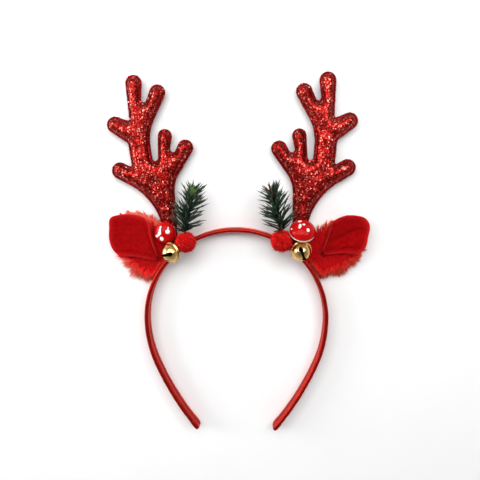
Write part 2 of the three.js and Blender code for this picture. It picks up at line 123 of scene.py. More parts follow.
# Its last four keys set where the velvet is painted paler: along the folds, partly wear and partly painted
# highlight; along the rim, a painted highlight.
FOLD = {
    "roll": 0.9, "ridge": 1.1, "width": 0.7, "groove": 1.3, "groove_at": 2.6, "groove_width": 1.3,
    "hem": 0.25, "wave": 0.3, "wave_size": 9.0, "wave_seed": 7.0, "worn": 0.7, "wear_and_highlight_from": 0.5,
    "rim_painted_highlight": 2.2, "paleness": 0.5,
}
PLEATS = {"rise": 0.7, "reach": 9, "count": 6}
CREASE_FADE = 0.15  # share of the ear's length over which a crease runs out
CREASE = {
    "left": {"foot": 0.3, "tip": 0.22, "from": 0.3, "to": 0.95, "depth": 0.5, "width": 2.2},
    "right": {"foot": 0.67, "tip": 0.31, "from": 0.25, "to": 0.95, "depth": 2.0, "width": 2.0},
}
FUR = {
    "voxel": 0.8, "melt": 0.5, "rounds": 4, "floor": 0.6, "short": 2.6, "rim": 0.8, "length": 6.8,
    "lift": 0.18, "back_lift": -0.05, "back_facing": -0.5, "under_velvet": 4,
    "clump": 0.75, "clump_size": 4.0, "clump_seed": 1.0, "per_mm2": 2.4, "on_back": 0.15, "thickening": 2,
    "width": 1.2, "frizz": 0.17, "fringe": 4, "paling": 1.4, "seed": 21,
}
# Paleness of the fringe tips; on the left above the velvet it is raised further as painted light shining
# through the fringe.
FRINGE_PALENESS = {"left": (1.2, 1.6), "right": (0.35, 2.0)}  # on the flap below the velvet, above it
SMOOTH_RIM = {  # from which angle the rim hides the fringe, over how much, to which angle, over how much
    "left": (7, 6, 60, 22),
    "right": (-8, 32, 72, 6),
}
UPPER_FUR = {"left": 1.0, "right": 0.12}  # how much of the pile is left on the flap above the velvet
UPPER_LENGTH = 0.7  # and how long it is there
FUR_TURN = {"middle": 36, "from": 25, "to": 75, "lower": -48, "upper": 12}  # how the pile leaves the folds

# Pompom, sprig, mushroom and bell.
POMPOM = {
    "core": 4.9, "subdivisions": 4, "lump": 0.08, "lump_size": 2.5, "lump_seed": 2.0, "seat": 10.4,
    "flatten": 0.25, "seed": 31,
}
POMPOM_ENDS = {
    "yarn": {"per_mm2": 4.2, "width": 1.5, "frizz": 0.8, "stretch": 1.0},
    "wisps": {"per_mm2": 1.0, "width": 0.14, "frizz": 1.0, "stretch": 1.6},
    "tinsel": {"per_mm2": 0.3, "width": 0.32, "frizz": 0.8, "stretch": 1.0},
}
POMPOM_LENGTH = {"left": 3.4, "right": 4.0}
TWIG = {
    "radius": 0.9, "taper": 0.5, "knot": 0.15, "knot_size": 2.0, "sides": 8, "start": 0.06, "steps": 24,
    "bud_steps": 4, "bud_offset": (0, 1, 3), "seed": 41,
}
TWIG_HEIGHTS = ((0, 4.5), (0.22, 8.6), (0.5, 11.4), (1, 12.4))  # share of the way, height
PINE_NEEDLES = {
    "count": 118, "start": 0.2, "length": 18, "tip_length": 12.5, "width": 1.3, "spread": 52,
    "tip_spread": 44,
}
BUD = {
    "left": {
        "count": 34, "start": 0.0, "length": 6.5, "tip_length": 5.5, "width": 2.2, "spread": 24,
        "tip_spread": 14,
    },
    "right": {
        "count": 5, "start": 0.0, "length": 11, "tip_length": 9, "width": 1.0, "spread": 42,
        "tip_spread": 30,
    },
}
CAP = {"height_share": 0.78, "lip": 0.9, "gap": 0.3, "sides": 72, "steps": 18}
CAP_RIM = ((1.5, 0), (0.55, 0.02), (0.18, 0.14), (0.03, 0.34))  # inwards from the radius, upwards
UNDERSIDE = {"thickness": 1.2, "stem_radius": 2.2, "stem_top": 0.1}
UNDERSIDE_ROWS = (  # share of the radius, share of the belly, share of the gills' depth
    (0.4, 0.95, 0.3), (0.62, 0.88, 1), (0.82, 0.74, 1), (0.95, 0.52, 0.4),
)
UNDERSIDE_LIP = ((0, -0.8), (0.25, -0.15), (0.7, 0))  # inwards from the rim, height
GILLS = {"count": 36, "sides": 4, "depth": 0.22}
PAINT_GRID = {"rows": 48, "columns": 192}
PAINT_DROP = {
    "rise": 0.3, "sunk": 0.25, "sinking": 4, "depth": 0.5, "edge": 0.045, "wobble": 0.03, "wobble_size": 0.2,
}
PAINT_STROKES = {  # from and to as shares of the cap's radius, and half the width
    "left": (
        (0.09, -0.62, 0.16, -0.4, 0.06), (0.19, -0.31, 0.27, -0.07, 0.1), (0.27, -0.07, 0.28, -0.06, 0.15),
        (0.3, 0.02, 0.66, 0.14, 0.08), (0.66, 0.14, 0.67, 0.14, 0.12),
        (-0.49, -0.07, -0.49, -0.09, 0.17), (-0.5, -0.15, -0.58, -0.42, 0.035), (0.2, 0.43, 0.24, 0.47, 0.15),
    ),
    "right": (
        (-0.3, -0.43, -0.22, -0.46, 0.08), (0.02, -0.05, 0.04, -0.04, 0.085),
        (-0.31, 0.24, -0.24, 0.02, 0.075), (0.34, 0.43, 0.34, 0.41, 0.105), (-0.87, 0.16, -0.86, 0.13, 0.04),
    ),
}
BELL = {
    "radius": 6.6, "wall": 0.6, "sides": 72, "rows": 72, "inner_rows": 24, "inside": 0.1, "sharp": 40,
    "ridge": 0.7, "ridge_width": 0.45, "groove": 0.25, "groove_at": 1.1, "groove_width": 0.35,
    "slot_length": 7.4, "slot_width": 1.7, "end_radius": 1.45, "end_steps": 16, "cut": (2.0, 9.0),
}

# What varies from one repeated shape to the next: from, to and seed.
VARIES = {
    "shade": (0.0, 1.0, 7),
    "strand_length": (0.65, 1.0, 3),
    "strand_roll": (0.0, 2 * math.pi, 2),
    "flake_tilt": (0.0, 1.0, 4),
    "flake_size": (0.7, 1.2, 3),
    "flake_spin": (0.0, math.pi, 2),
    "needle_side": (-0.12, math.pi + 0.12, 5),
    "needle_length": (0.78, 1.08, 6),
    "needle_roll": (0.0, 2 * math.pi, 8),
}
NEEDLE_STRAY = (0.75, 1.25)  # shares of the spread, drawn with the seed of the needles or of the bud
STRAY_SEED = 1
FLAKE_FLATNESS = 3.0  # the higher, the fewer flakes are tilted far
LOCK_UNEVEN = 0.35  # how far the strands of a lock differ in length
LOCK_ORDER = 0.618  # step from one strand's share of that to the next

# Noise of the finishes.
PATCH_NOISE = {"Detail": 3.0}
PATCH_EDGE = (0.36, 0.64)  # levels of the noise between which one colour gives way to the other
GRAIN_NOISE = {"Detail": 2.0, "Roughness": 0.65}
THREAD_NOISE = {"Scale": 1.0, "Detail": 2.0}
THREADS = {"scale": (30, 900, 1), "depth": 0.05}  # of the ribbon, along it and across
FLAKE_REDS = (  # share of the flakes, colour
    (0.0, (0.2, 0.002, 0.002)),
    (0.55, (0.35, 0.011, 0.009)),
    (0.86, (0.48, 0.045, 0.033)),
    (1.0, (0.92, 0.34, 0.27)),
)

# Light: place, size and power of each lamp.
LAMPS = {
    "key": ((-190, 480, 820), 700, 5.1),
    "fill": ((330, 420, 860), 700, 4.0),
    "side_strip": ((-900, 160, 280), 500, 5.4),
    "glint_left": ((-330, 120, 420), 80, 0.35),
    "glint_right": ((330, 160, 420), 80, 0.35),
}
FLOOR = {"radius": 1000, "sides": 96}
STUDIO = {"overhead": 0.07, "around": 0.75, "backdrop": 1.0}  # how bright the walls of the studio are

# Places and directions of each side's pieces: outwards, upwards and to the front.
SIDES = {
    "left": {
        "out": -1,
        "antler": ((46.2, 3.9), -1.7),
        "gather": (52.5, -22),
        "sprig": ((37.5, -10.5), (28.9, 26)),
        "pompom": (33.9, -7.7, 15.4),
        "mushroom": {
            "middle": (48.2, -1.5, 11.3), "axis": (0.2, -0.03, 0.97), "radius": 7.6, "stem": 0.95,
            "belly": 1.2, "inset": 0.5,
        },
        "bell": {"middle": (43.8, -14.7, 16.7), "pole": (0.52, -0.18, 0.84), "slot": (-7.8, 2.1, 0)},
    },
    "right": {
        "out": 1,
        "antler": ((44, 3.9), 1.7),
        "gather": (57.7, -17.5),
        "sprig": ((34.8, -9), (24.6, 25.5)),
        "pompom": (31.3, -6.6, 15.4),
        "mushroom": {
            "middle": (45.1, -0.1, 16.4), "axis": (0.05, 0.75, 0.66), "radius": 8.8, "stem": 4,
            "belly": 2.3, "inset": 0.25,
        },
        "bell": {"middle": (44.6, -13.3, 16.6), "pole": (0.1, -0.25, 0.96), "slot": (3.8, -10.3, 0)},
    },
}


# Helpers for meshes.
def show(name, mesh):
    obj = bpy.data.objects.new(name, mesh)
    bpy.context.scene.collection.objects.link(obj)
    return obj


@contextmanager
def edited(mesh):
    """A mesh opened for changes, which are written back to it."""
    body = bmesh.new()
    body.from_mesh(mesh)
    yield body
    body.to_mesh(mesh)
    body.free()


def mark(mesh, label, values):
    """Stores a number on each vertex of a mesh."""
    mesh.attributes.new(label, "FLOAT", "POINT").data.foreach_set("value", list(values))


def build(name, points, faces, closed=True, **marks):
    """A smooth object from points in millimetres, welded, with its faces pointing outwards."""
    mesh = bpy.data.meshes.new(name)
    mesh.from_pydata([tuple(c * MM for c in point) for point in points], [], faces)
    for label, values in marks.items():
        mark(mesh, label, values)
    with edited(mesh) as body:
        bmesh.ops.remove_doubles(body, verts=body.verts, dist=WELD * MM)
        if closed:
            bmesh.ops.recalc_face_normals(body, faces=body.faces)
        for face in body.faces:
            face.smooth = True
    return show(name, mesh)


def polyline(name, points, closed=False):
    edges = [(i, i + 1) for i in range(len(points) - 1)]
    if closed:
        edges.append((len(points) - 1, 0))
    mesh = bpy.data.meshes.new(name)
    mesh.from_pydata([tuple(c * MM for c in point) for point in points], edges, [])
    return show(name, mesh)


def discard(*objects):
    for obj in objects:
        bpy.data.objects.remove(obj)


def frozen(obj, name):
    """What an object's modifiers make of it, as a plain mesh in an object of its own."""
    graph = bpy.context.evaluated_depsgraph_get()
    mesh = bpy.data.meshes.new_from_object(obj.evaluated_get(graph), depsgraph=graph)
    mesh.name = name
    discard(obj)
    return show(name, mesh)


def grown(name, source, tree, **values):
    """The result of a node tree on a source object, as a plain mesh of its own."""
    carrier = show(name + "_carrier", source.data)
    modifier = carrier.modifiers.new("grown", "NODES")
    modifier.node_group = tree
    for item in tree.interface.items_tree:
        if item.in_out == "INPUT" and item.name in values:
            modifier[item.identifier] = values[item.name]
    return frozen(carrier, name)


def dress(obj, finish=None, stands_for=()):
    """Gives a finished piece its material, hides the parts it stands for, and lets it ride on the part."""
    if finish:
        obj.data.materials.clear()
        obj.data.materials.append(finish)
    if stands_for:
        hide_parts(*stands_for)
    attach(obj, "root")
    return obj


def grid_faces(rows, columns, wrap=False):
    """Quads over rows of points, where the columns may wrap round."""
    across = columns if wrap else columns - 1
    faces = []
    for first in range(0, (rows - 1) * columns, columns):
        for here in range(across):
            after = (here + 1) % columns
            faces.append((first + here, first + after, first + columns + after, first + columns + here))
    return faces


def tube_faces(rows, columns):
    """Quads round rows of points, and a face over each end."""
    last = (rows - 1) * columns
    ends = [tuple(range(columns)), tuple(last + i for i in reversed(range(columns)))]
    return grid_faces(rows, columns, wrap=True) + ends


def circle(sides):
    """Points round a circle of unit radius."""
    turns = [2 * math.pi * i / sides for i in range(sides)]
    return [(math.cos(turn), math.sin(turn)) for turn in turns]


def on_side(side, point):
    """A place in metres from its distances outwards, upwards and to the front."""
    return Vector(point) * Vector((SIDES[side]["out"], 1, 1)) * MM


def mirror(side):
    """Turns distances outwards into places on one side."""
    return Matrix.Scale(SIDES[side]["out"], 4, (1, 0, 0))


def through(x, xs, ys):
    """A smooth curve through points, read at x."""
    xs = np.asarray(xs, float)
    ys = np.asarray(ys, float)
    slopes = np.gradient(ys, xs)
    i = np.clip(np.searchsorted(xs, x) - 1, 0, len(xs) - 2)
    width = xs[i + 1] - xs[i]
    t = (x - xs[i]) / width
    start = (1 + 2 * t) * (1 - t) ** 2 * ys[i] + t * (1 - t) ** 2 * width * slopes[i]
    end = t**2 * (3 - 2 * t) * ys[i + 1] + t**2 * (t - 1) * width * slopes[i + 1]
    return start + end


def bump_at(x, middle, width):
    return np.exp(-(((x - middle) / width) ** 2))


def ripple(point, size, seed=0.0):
    """Smooth noise from -1 to 1 that changes over about the given size."""
    return noise.noise(Vector(point) / size + Vector((seed, 2 * seed, -seed)))


# Helpers for node trees.
class Graph:
    """A node tree with short calls that add a node and set or link its inputs."""

    def __init__(self, tree):
        self.tree = tree

    def add(self, kind, inputs=None, **settings):
        node = self.tree.nodes.new(kind)
        for name, value in settings.items():
            setattr(node, name, value)
        for key, value in (inputs or {}).items():
            self.feed(node.inputs[key], value)
        return node

    def feed(self, socket, value):
        if isinstance(value, bpy.types.NodeSocket):
            self.tree.links.new(value, socket)
        else:
            socket.default_value = value

    def math(self, operation, a, b=0.0):
        return self.add("ShaderNodeMath", {0: a, 1: b}, operation=operation).outputs[0]

    def vector(self, operation, a, b=(0, 0, 0)):
        return self.add("ShaderNodeVectorMath", {0: a, 1: b}, operation=operation).outputs[0]

    def scaled(self, vector, factor):
        node = self.add("ShaderNodeVectorMath", {0: vector, "Scale": factor}, operation="SCALE")
        return node.outputs[0]

    def triple(self, x=0.0, y=0.0, z=0.0):
        return self.add("ShaderNodeCombineXYZ", {"X": x, "Y": y, "Z": z}).outputs[0]

    def mix(self, factor, a, b):
        return self.add("ShaderNodeMix", {0: factor, 6: a, 7: b}, data_type="RGBA").outputs[2]

    def ranged(self, value, low, high, to_low=0.0, to_high=1.0):
        inputs = {"Value": value, "From Min": low, "From Max": high, "To Min": to_low, "To Max": to_high}
        return self.add("ShaderNodeMapRange", inputs).outputs[0]

    def random(self, low, high, seed):
        """A random number for each point or instance."""
        node = self.add("FunctionNodeRandomValue", {2: low, 3: high, "Seed": seed}, data_type="FLOAT")
        return node.outputs[1]

    def random_vector(self, reach, seed):
        low = self.scaled((-1, -1, -1), reach)
        high = self.scaled((1, 1, 1), reach)
        node = self.add("FunctionNodeRandomValue", {0: low, 1: high, "Seed": seed}, data_type="FLOAT_VECTOR")
        return node.outputs[0]

    def attribute(self, name, kind="FLOAT"):
        return self.add("GeometryNodeInputNamedAttribute", {"Name": name}, data_type=kind).outputs[0]

    def stored(self, name):
        """A number that is stored on the surface, for a material."""
        return self.add("ShaderNodeAttribute", attribute_name=name).outputs["Fac"]

    def along(self, vector):
        """A rotation that turns +Z to a direction."""
        node = self.add("FunctionNodeAlignRotationToVector", {"Vector": vector}, axis="Z")
        return node.outputs[0]

    def turned(self, rotation, euler):
        """A rotation followed by another in its own axes."""
        inputs = {"Rotation": rotation, "Rotate By": euler}
        return self.add("FunctionNodeRotateRotation", inputs, rotation_space="LOCAL").outputs[0]


KINDS = {
    "geometry": "NodeSocketGeometry",
    "object": "NodeSocketObject",
    "material": "NodeSocketMaterial",
    "number": "NodeSocketFloat",
    "count": "NodeSocketInt",
    "colour": "NodeSocketColor",
}


def tree_of(name, kind, inputs, outputs):
    """An empty node tree with named sockets, its graph, its inputs and its output node."""
    tree = bpy.data.node_groups.new(name, kind)
    for label, socket in inputs.items():
        tree.interface.new_socket(name=label, in_out="INPUT", socket_type=KINDS[socket])
    for label, socket in outputs.items():
        tree.interface.new_socket(name=label, in_out="OUTPUT", socket_type=KINDS[socket])
    graph = Graph(tree)
    given = graph.add("NodeGroupInput").outputs
    return tree, graph, given, graph.add("NodeGroupOutput")


def strewn_points(graph, given, share):
    """Points strewn on a surface, as dense as one of its attributes says, with their normals."""
    density = graph.math("MULTIPLY", given["Density"], graph.attribute(share))
    inputs = {"Mesh": given["Surface"], "Density": density, "Seed": given["Seed"]}
    return graph.add("GeometryNodeDistributePointsOnFaces", inputs).outputs


def set_on(graph, output, points, shape, rotation, size, finish):
    """Sets a shape with a shade of its own on each point, makes them real and sets their material."""
    source = graph.add("GeometryNodeObjectInfo", {"Object": shape}).outputs["Geometry"]
    inputs = {"Points": points, "Instance": source, "Rotation": rotation, "Scale": size}
    instances = graph.add("GeometryNodeInstanceOnPoints", inputs)
    inputs = {"Geometry": instances.outputs[0], "Name": "shade", "Value": graph.random(*VARIES["shade"])}
    stored = graph.add("GeometryNodeStoreNamedAttribute", inputs, data_type="FLOAT", domain="INSTANCE")
    real = graph.add("GeometryNodeRealizeInstances", {"Geometry": stored.outputs[0]})
    painted = graph.add("GeometryNodeSetMaterial", {"Geometry": real.outputs[0], "Material": finish})
    graph.feed(output.inputs[0], painted.outputs[0])


def strand_tree():
    """Strands on a surface, combed along its flow, as long as its reach and as dense as its pile."""
    tree, graph, given, output = tree_of(
        "combed strands",
        "GeometryNodeTree",
        {
            "Surface": "geometry", "Strand": "object", "Density": "number", "Width": "number",
            "Stretch": "number", "Frizz": "number", "Seed": "count", "Material": "material",
        },
        {"Strands": "geometry"},
    )
    points = strewn_points(graph, given, "pile")
    stray = graph.random_vector(given["Frizz"], STRAY_SEED)
    way = graph.vector("NORMALIZE", graph.vector("ADD", graph.attribute("flow", "FLOAT_VECTOR"), stray))
    roll = graph.triple(z=graph.random(*VARIES["strand_roll"]))
    length = graph.math("MULTIPLY", graph.attribute("reach"), given["Stretch"])
    length = graph.math("MULTIPLY", length, graph.random(*VARIES["strand_length"]))
    size = graph.triple(given["Width"], given["Width"], length)
    rotation = graph.turned(graph.along(way), roll)
    set_on(graph, output, points["Points"], given["Strand"], rotation, size, given["Material"])
    return tree


def flake_tree():
    """Flakes on a surface, each tilted a little from it, as many as its attribute says."""
    tree, graph, given, output = tree_of(
        "strewn flakes",
        "GeometryNodeTree",
        {
            "Surface": "geometry", "Flake": "object", "Density": "number", "Size": "number",
            "Tilt": "number", "Seed": "count", "Material": "material",
        },
        {"Flakes": "geometry"},
    )
    points = strewn_points(graph, given, "strewn")
    tilt = graph.math("POWER", graph.random(*VARIES["flake_tilt"]), FLAKE_FLATNESS)
    stray = graph.scaled(graph.random_vector(given["Tilt"], STRAY_SEED), tilt)
    way = graph.vector("NORMALIZE", graph.vector("ADD", points["Normal"], stray))
    spin = graph.triple(z=graph.random(*VARIES["flake_spin"]))
    size = graph.math("MULTIPLY", given["Size"], graph.random(*VARIES["flake_size"]))
    rotation = graph.turned(graph.along(way), spin)
    set_on(graph, output, points["Points"], given["Flake"], rotation, size, given["Material"])
    return tree


def stitch_tree():
    """Stitches laid along a line, one every pitch."""
    tree, graph, given, output = tree_of(
        "row of stitches",
        "GeometryNodeTree",
        {
            "Line": "geometry", "Stitch": "object", "Pitch": "number", "Length": "number",
            "Width": "number", "Material": "material",
        },
        {"Stitches": "geometry"},
    )
    curve = graph.add("GeometryNodeMeshToCurve", {"Mesh": given["Line"]}).outputs[0]
    inputs = {"Curve": curve, "Length": given["Pitch"]}
    points = graph.add("GeometryNodeCurveToPoints", inputs, mode="LENGTH").outputs
    size = graph.triple(given["Width"], given["Width"], given["Length"])
    rotation = graph.along(points["Tangent"])
    set_on(graph, output, points["Points"], given["Stitch"], rotation, size, given["Material"])
    return tree


def needle_tree():
    """Needles all along a twig, on its sides and its front, standing off more at its foot."""
    tree, graph, given, output = tree_of(
        "needles on a twig",
        "GeometryNodeTree",
        {
            "Twig": "geometry", "Needle": "object", "Needles": "count", "Start": "number",
            "Length": "number", "Tip Length": "number", "Width": "number",
            "Spread": "number", "Tip Spread": "number", "Seed": "count", "Material": "material",
        },
        {"Needles": "geometry"},
    )
    curve = graph.add("GeometryNodeMeshToCurve", {"Mesh": given["Twig"]}).outputs[0]
    trimmed = graph.add("GeometryNodeTrimCurve", {"Curve": curve, 2: given["Start"], 3: 1.0}, mode="FACTOR")
    inputs = {"Curve": trimmed.outputs[0], "Count": given["Needles"]}
    points = graph.add("GeometryNodeCurveToPoints", inputs, mode="COUNT").outputs
    share = graph.math("DIVIDE", graph.add("GeometryNodeInputIndex").outputs[0], given["Needles"])
    ahead = points["Tangent"]
    outwards = graph.vector("NORMALIZE", graph.vector("CROSS_PRODUCT", ahead, (0, 0, 1)))
    forwards = graph.vector("CROSS_PRODUCT", outwards, ahead)
    spread = graph.ranged(share, 0.0, 1.0, given["Spread"], given["Tip Spread"])
    spread = graph.math("MULTIPLY", spread, graph.random(*NEEDLE_STRAY, given["Seed"]))
    azimuth = graph.random(*VARIES["needle_side"])
    side = graph.math("MULTIPLY", graph.math("SINE", spread), graph.math("COSINE", azimuth))
    front = graph.math("MULTIPLY", graph.math("SINE", spread), graph.math("SINE", azimuth))
    way = graph.scaled(ahead, graph.math("COSINE", spread))
    way = graph.vector("ADD", way, graph.scaled(outwards, side))
    way = graph.vector("ADD", way, graph.scaled(forwards, front))
    length = graph.ranged(share, 0.0, 1.0, given["Length"], given["Tip Length"])
    length = graph.math("MULTIPLY", length, graph.random(*VARIES["needle_length"]))
    size = graph.triple(given["Width"], given["Width"], length)
    rotation = graph.turned(graph.along(way), graph.triple(z=graph.random(*VARIES["needle_roll"])))
    set_on(graph, output, points["Points"], given["Needle"], rotation, size, given["Material"])
    return tree


# Shader groups.
def mottle_group():
    """Two colours in soft patches, from smooth noise."""
    tree, graph, given, output = tree_of(
        "mottled colour",
        "ShaderNodeTree",
        {"Color": "colour", "Patch Color": "colour", "Scale": "number"},
        {"Color": "colour", "Patch": "number"},
    )
    place = graph.add("ShaderNodeTexCoord").outputs["Object"]
    cloud = graph.add("ShaderNodeTexNoise", {"Vector": place, "Scale": given["Scale"], **PATCH_NOISE})
    patch = graph.ranged(cloud.outputs[0], *PATCH_EDGE)
    graph.feed(output.inputs["Color"], graph.mix(patch, given["Color"], given["Patch Color"]))
    graph.feed(output.inputs["Patch"], patch)
    return tree


def strand_shade_group():
    """The colour of a strand from root to tip, paler at the tips of a fringe, and unlike its neighbours."""
    tree, graph, given, output = tree_of(
        "strand colour",
        "ShaderNodeTree",
        {
            "Root Color": "colour", "Tip Color": "colour", "Fringe Color": "colour",
            "Variation": "number", "Tip Sharpness": "number",
        },
        {"Color": "colour"},
    )
    along, shade, fringe = (graph.stored(label) for label in ("along", "shade", "fringe"))
    tip = graph.math("POWER", along, given["Tip Sharpness"])
    tip_colour = graph.mix(fringe, given["Tip Color"], given["Fringe Color"])
    colour = graph.mix(tip, given["Root Color"], tip_colour)
    off = graph.math("MULTIPLY", graph.math("SUBTRACT", shade, 0.5), given["Variation"])
    graph.feed(output.inputs["Color"], graph.scaled(colour, graph.math("ADD", off, 1.0)))
    return tree


def grain_group():
    """Height of a fine grain, such as the pile of velvet or the skin of foam."""
    tree, graph, given, output = tree_of(
        "fine grain", "ShaderNodeTree", {"Scale": "number"}, {"Height": "number"}
    )
    place = graph.add("ShaderNodeTexCoord").outputs["Object"]
    cloud = graph.add("ShaderNodeTexNoise", {"Vector": place, "Scale": given["Scale"], **GRAIN_NOISE})
    graph.feed(output.inputs["Height"], cloud.outputs[0])
    return tree


MOTTLE = mottle_group()
STRAND_SHADE = strand_shade_group()
GRAIN = grain_group()


def finish_of(name, **plain):
    """A material, its graph and its shader, with plain values set on the shader's own sockets."""
    made = bpy.data.materials.new(name)
    made.use_nodes = True
    shader = made.node_tree.nodes["Principled BSDF"]
    for label, value in plain.items():
        shader.inputs[label.replace("_", " ")].default_value = value
    return made, Graph(made.node_tree), shader


def mottled(graph, shader, colour, patch_colour, size):
    """Feeds the shader two colours in patches of about the given size, and returns colour and patch."""
    inputs = {"Color": (*colour, 1), "Patch Color": (*patch_colour, 1), "Scale": 1 / (size * MM)}
    group = graph.add("ShaderNodeGroup", inputs, node_tree=MOTTLE)
    graph.feed(shader.inputs["Base Color"], group.outputs["Color"])
    return group.outputs


def grained(graph, shader, size, depth):
    """Feeds the shader a bumpy normal with grains of about the given size."""
    group = graph.add("ShaderNodeGroup", {"Scale": 1 / (size * MM)}, node_tree=GRAIN)
    bump(graph, shader, group.outputs["Height"], depth)


def bump(graph, shader, height, depth):
    raised = graph.add("ShaderNodeBump", {"Height": height, "Distance": depth * MM})
    graph.feed(shader.inputs["Normal"], raised.outputs["Normal"])


def strand_finish(name, root, tip, variation, sharpness, fringe=(0, 0, 0), **plain):
    """A material for strands: colours of root, tip and fringe, how much they vary, how late they change."""
    made, graph, shader = finish_of(name, **plain)
    inputs = {
        "Root Color": (*root, 1), "Tip Color": (*tip, 1), "Fringe Color": (*fringe, 1),
        "Variation": variation, "Tip Sharpness": sharpness,
    }
    group = graph.add("ShaderNodeGroup", inputs, node_tree=STRAND_SHADE)
    graph.feed(shader.inputs["Base Color"], group.outputs["Color"])
    return made


def patchy_finish(name, colour, patch_colour, patch, grain=None, **plain):
    """A material in two colours, with the size of their patches, and the size and depth of a grain."""
    made, graph, shader = finish_of(name, **plain)
    mottled(graph, shader, colour, patch_colour, patch)
    if grain:
        grained(graph, shader, *grain)
    return made


def satin_finish():
    """Satin ribbon: fine threads along the hoop, which the highlight runs across."""
    made, graph, shader = finish_of(
        "satin_ribbon", Metallic=0.75, Roughness=0.26, Anisotropic=0.5, Specular_IOR_Level=0.15,
        Specular_Tint=(1, 0.25, 0.2, 1), Sheen_Weight=0.9, Sheen_Roughness=0.3, Sheen_Tint=(1, 0.3, 0.18, 1),
        Coat_Weight=0.12, Coat_Roughness=0.22,
    )
    mottled(graph, shader, (0.4, 0.01, 0.007), (0.33, 0.008, 0.005), size=9)
    place = graph.add("ShaderNodeUVMap", uv_map="ribbon").outputs[0]
    stretched = graph.add("ShaderNodeMapping", {"Vector": place, "Scale": THREADS["scale"]}).outputs[0]
    threads = graph.add("ShaderNodeTexNoise", {"Vector": stretched, **THREAD_NOISE})
    bump(graph, shader, threads.outputs[0], THREADS["depth"])
    return made


def flake_finish():
    """Foil flakes, each with a red of its own and a few of them pale."""
    made, graph, shader = finish_of("foil_flakes", Metallic=1.0, Roughness=0.34)
    ramp = graph.add("ShaderNodeValToRGB", {"Fac": graph.stored("shade")})
    stops = ramp.color_ramp.elements
    stops.remove(stops[-1])
    stops[0].color = (*FLAKE_REDS[0][1], 1)
    for share, colour in FLAKE_REDS[1:]:
        stops.new(share).color = (*colour, 1)
    graph.feed(shader.inputs["Base Color"], ramp.outputs[0])
    return made


def velvet_finish():
    """Velvet: its short pile is lit at grazing angles, and it is painted a paler red along its folds, partly
    wear and partly painted highlight, and along its rim as a painted highlight.
    """
    made, graph, shader = finish_of(
        "velvet", Roughness=0.95, Sheen_Weight=0.8, Sheen_Roughness=0.33, Sheen_Tint=(1, 0.12, 0.11, 1),
        Specular_IOR_Level=0.05,
    )
    cloth = mottled(graph, shader, (0.33, 0.0012, 0.0025), (0.24, 0.0009, 0.0018), size=2.5)["Color"]
    # Paler red for the folds and the rim: partly wear, mostly painted highlight.
    wear_and_highlight_red = (0.47, 0.009, 0.011, 1)
    graph.feed(shader.inputs["Base Color"], graph.mix(graph.stored("worn"), cloth, wear_and_highlight_red))
    grained(graph, shader, size=0.35, depth=0.12)
    return made


def gold_finish():
    """Plated metal, a little duller and browner in patches where it is handled."""
    made, graph, shader = finish_of("gold_plate", Metallic=1.0)
    patch = mottled(graph, shader, (0.7, 0.47, 0.18), (0.58, 0.36, 0.12), size=3)["Patch"]
    bright, dull = 0.14, 0.24
    graph.feed(shader.inputs["Roughness"], graph.ranged(patch, 0.0, 1.0, bright, dull))
    grained(graph, shader, size=1.8, depth=0.03)
    return made


def backing_finish(name, colour, patch_colour):
    """The ground of a pile, which shows dark between its strands."""
    return patchy_finish(
        name, colour, patch_colour, patch=1.5, grain=(0.5, 0.2), Roughness=0.95, Sheen_Weight=0.4,
        Sheen_Tint=(1, 0.1, 0.08, 1), Specular_IOR_Level=0.05,
    )


SATIN = satin_finish()
GLITTER_CLOTH = patchy_finish(
    "glitter_cloth", (0.2, 0.0025, 0.003), (0.1, 0.0015, 0.002), patch=1.2, grain=(0.5, 0.12),
    Metallic=0.6, Roughness=0.45, Specular_IOR_Level=0.1,
)
FLAKES = flake_finish()
VELVET = velvet_finish()
LACQUER = patchy_finish(
    "red_lacquer", (0.47, 0.0025, 0.003), (0.4, 0.002, 0.0025), patch=4, grain=(2.5, 0.06),
    Roughness=0.14, Specular_IOR_Level=0.12,
)
PAINT = patchy_finish(
    "white_paint", (0.93, 0.9, 0.88), (0.86, 0.8, 0.78), patch=0.8, grain=(0.9, 0.05),
    Roughness=0.22, Coat_Weight=0.5, Coat_Roughness=0.1,
)
CREAM = patchy_finish(
    "cream_foam", (0.94, 0.84, 0.7), (0.86, 0.7, 0.54), patch=1.5, grain=(0.4, 0.06), Roughness=0.6
)
GOLD = gold_finish()
# Dark dull brown for the bell's inner faces: partly duller plating, mostly painted shade inside the shell.
BELL_INSIDE_DULL_AND_SHADED = patchy_finish(
    "bell_inside", (0.035, 0.02, 0.008), (0.02, 0.011, 0.005), patch=2, Metallic=0.3, Roughness=0.7
)
BARK = patchy_finish(
    "twig_bark", (0.09, 0.045, 0.02), (0.03, 0.03, 0.014), patch=1.2, grain=(0.5, 0.2), Roughness=0.75
)
PALE_FLOOR = patchy_finish(
    "pale_floor", (0.9, 0.9, 0.9), (0.885, 0.885, 0.885), patch=60, Roughness=0.9, Specular_IOR_Level=0.1
)
FUR_BACKING = backing_finish("fur_backing", (0.52, 0.004, 0.006), (0.34, 0.002, 0.004))
YARN_CORE = backing_finish("yarn_core", (0.3, 0.003, 0.004), (0.18, 0.002, 0.003))
FUR_COLOURS = {  # root, tip, fringe, and how near the tip the colour changes
    "left": ((0.95, 0.011, 0.013), (1.0, 0.05, 0.045), (1.0, 0.5, 0.35), 2.4),
    "right": ((0.7, 0.006, 0.008), (0.88, 0.022, 0.021), (1.0, 0.5, 0.26), 1.3),
}
FUR_STRANDS = {
    side: strand_finish(
        f"fur_strands_{side}", root, tip, variation=0.35, sharpness=sharpness, fringe=fringe,
        Roughness=0.8, Specular_IOR_Level=0.05, Sheen_Weight=1.0, Sheen_Roughness=0.5,
        Sheen_Tint=(1, 0.06, 0.04, 1),
    )
    for side, (root, tip, fringe, sharpness) in FUR_COLOURS.items()
}
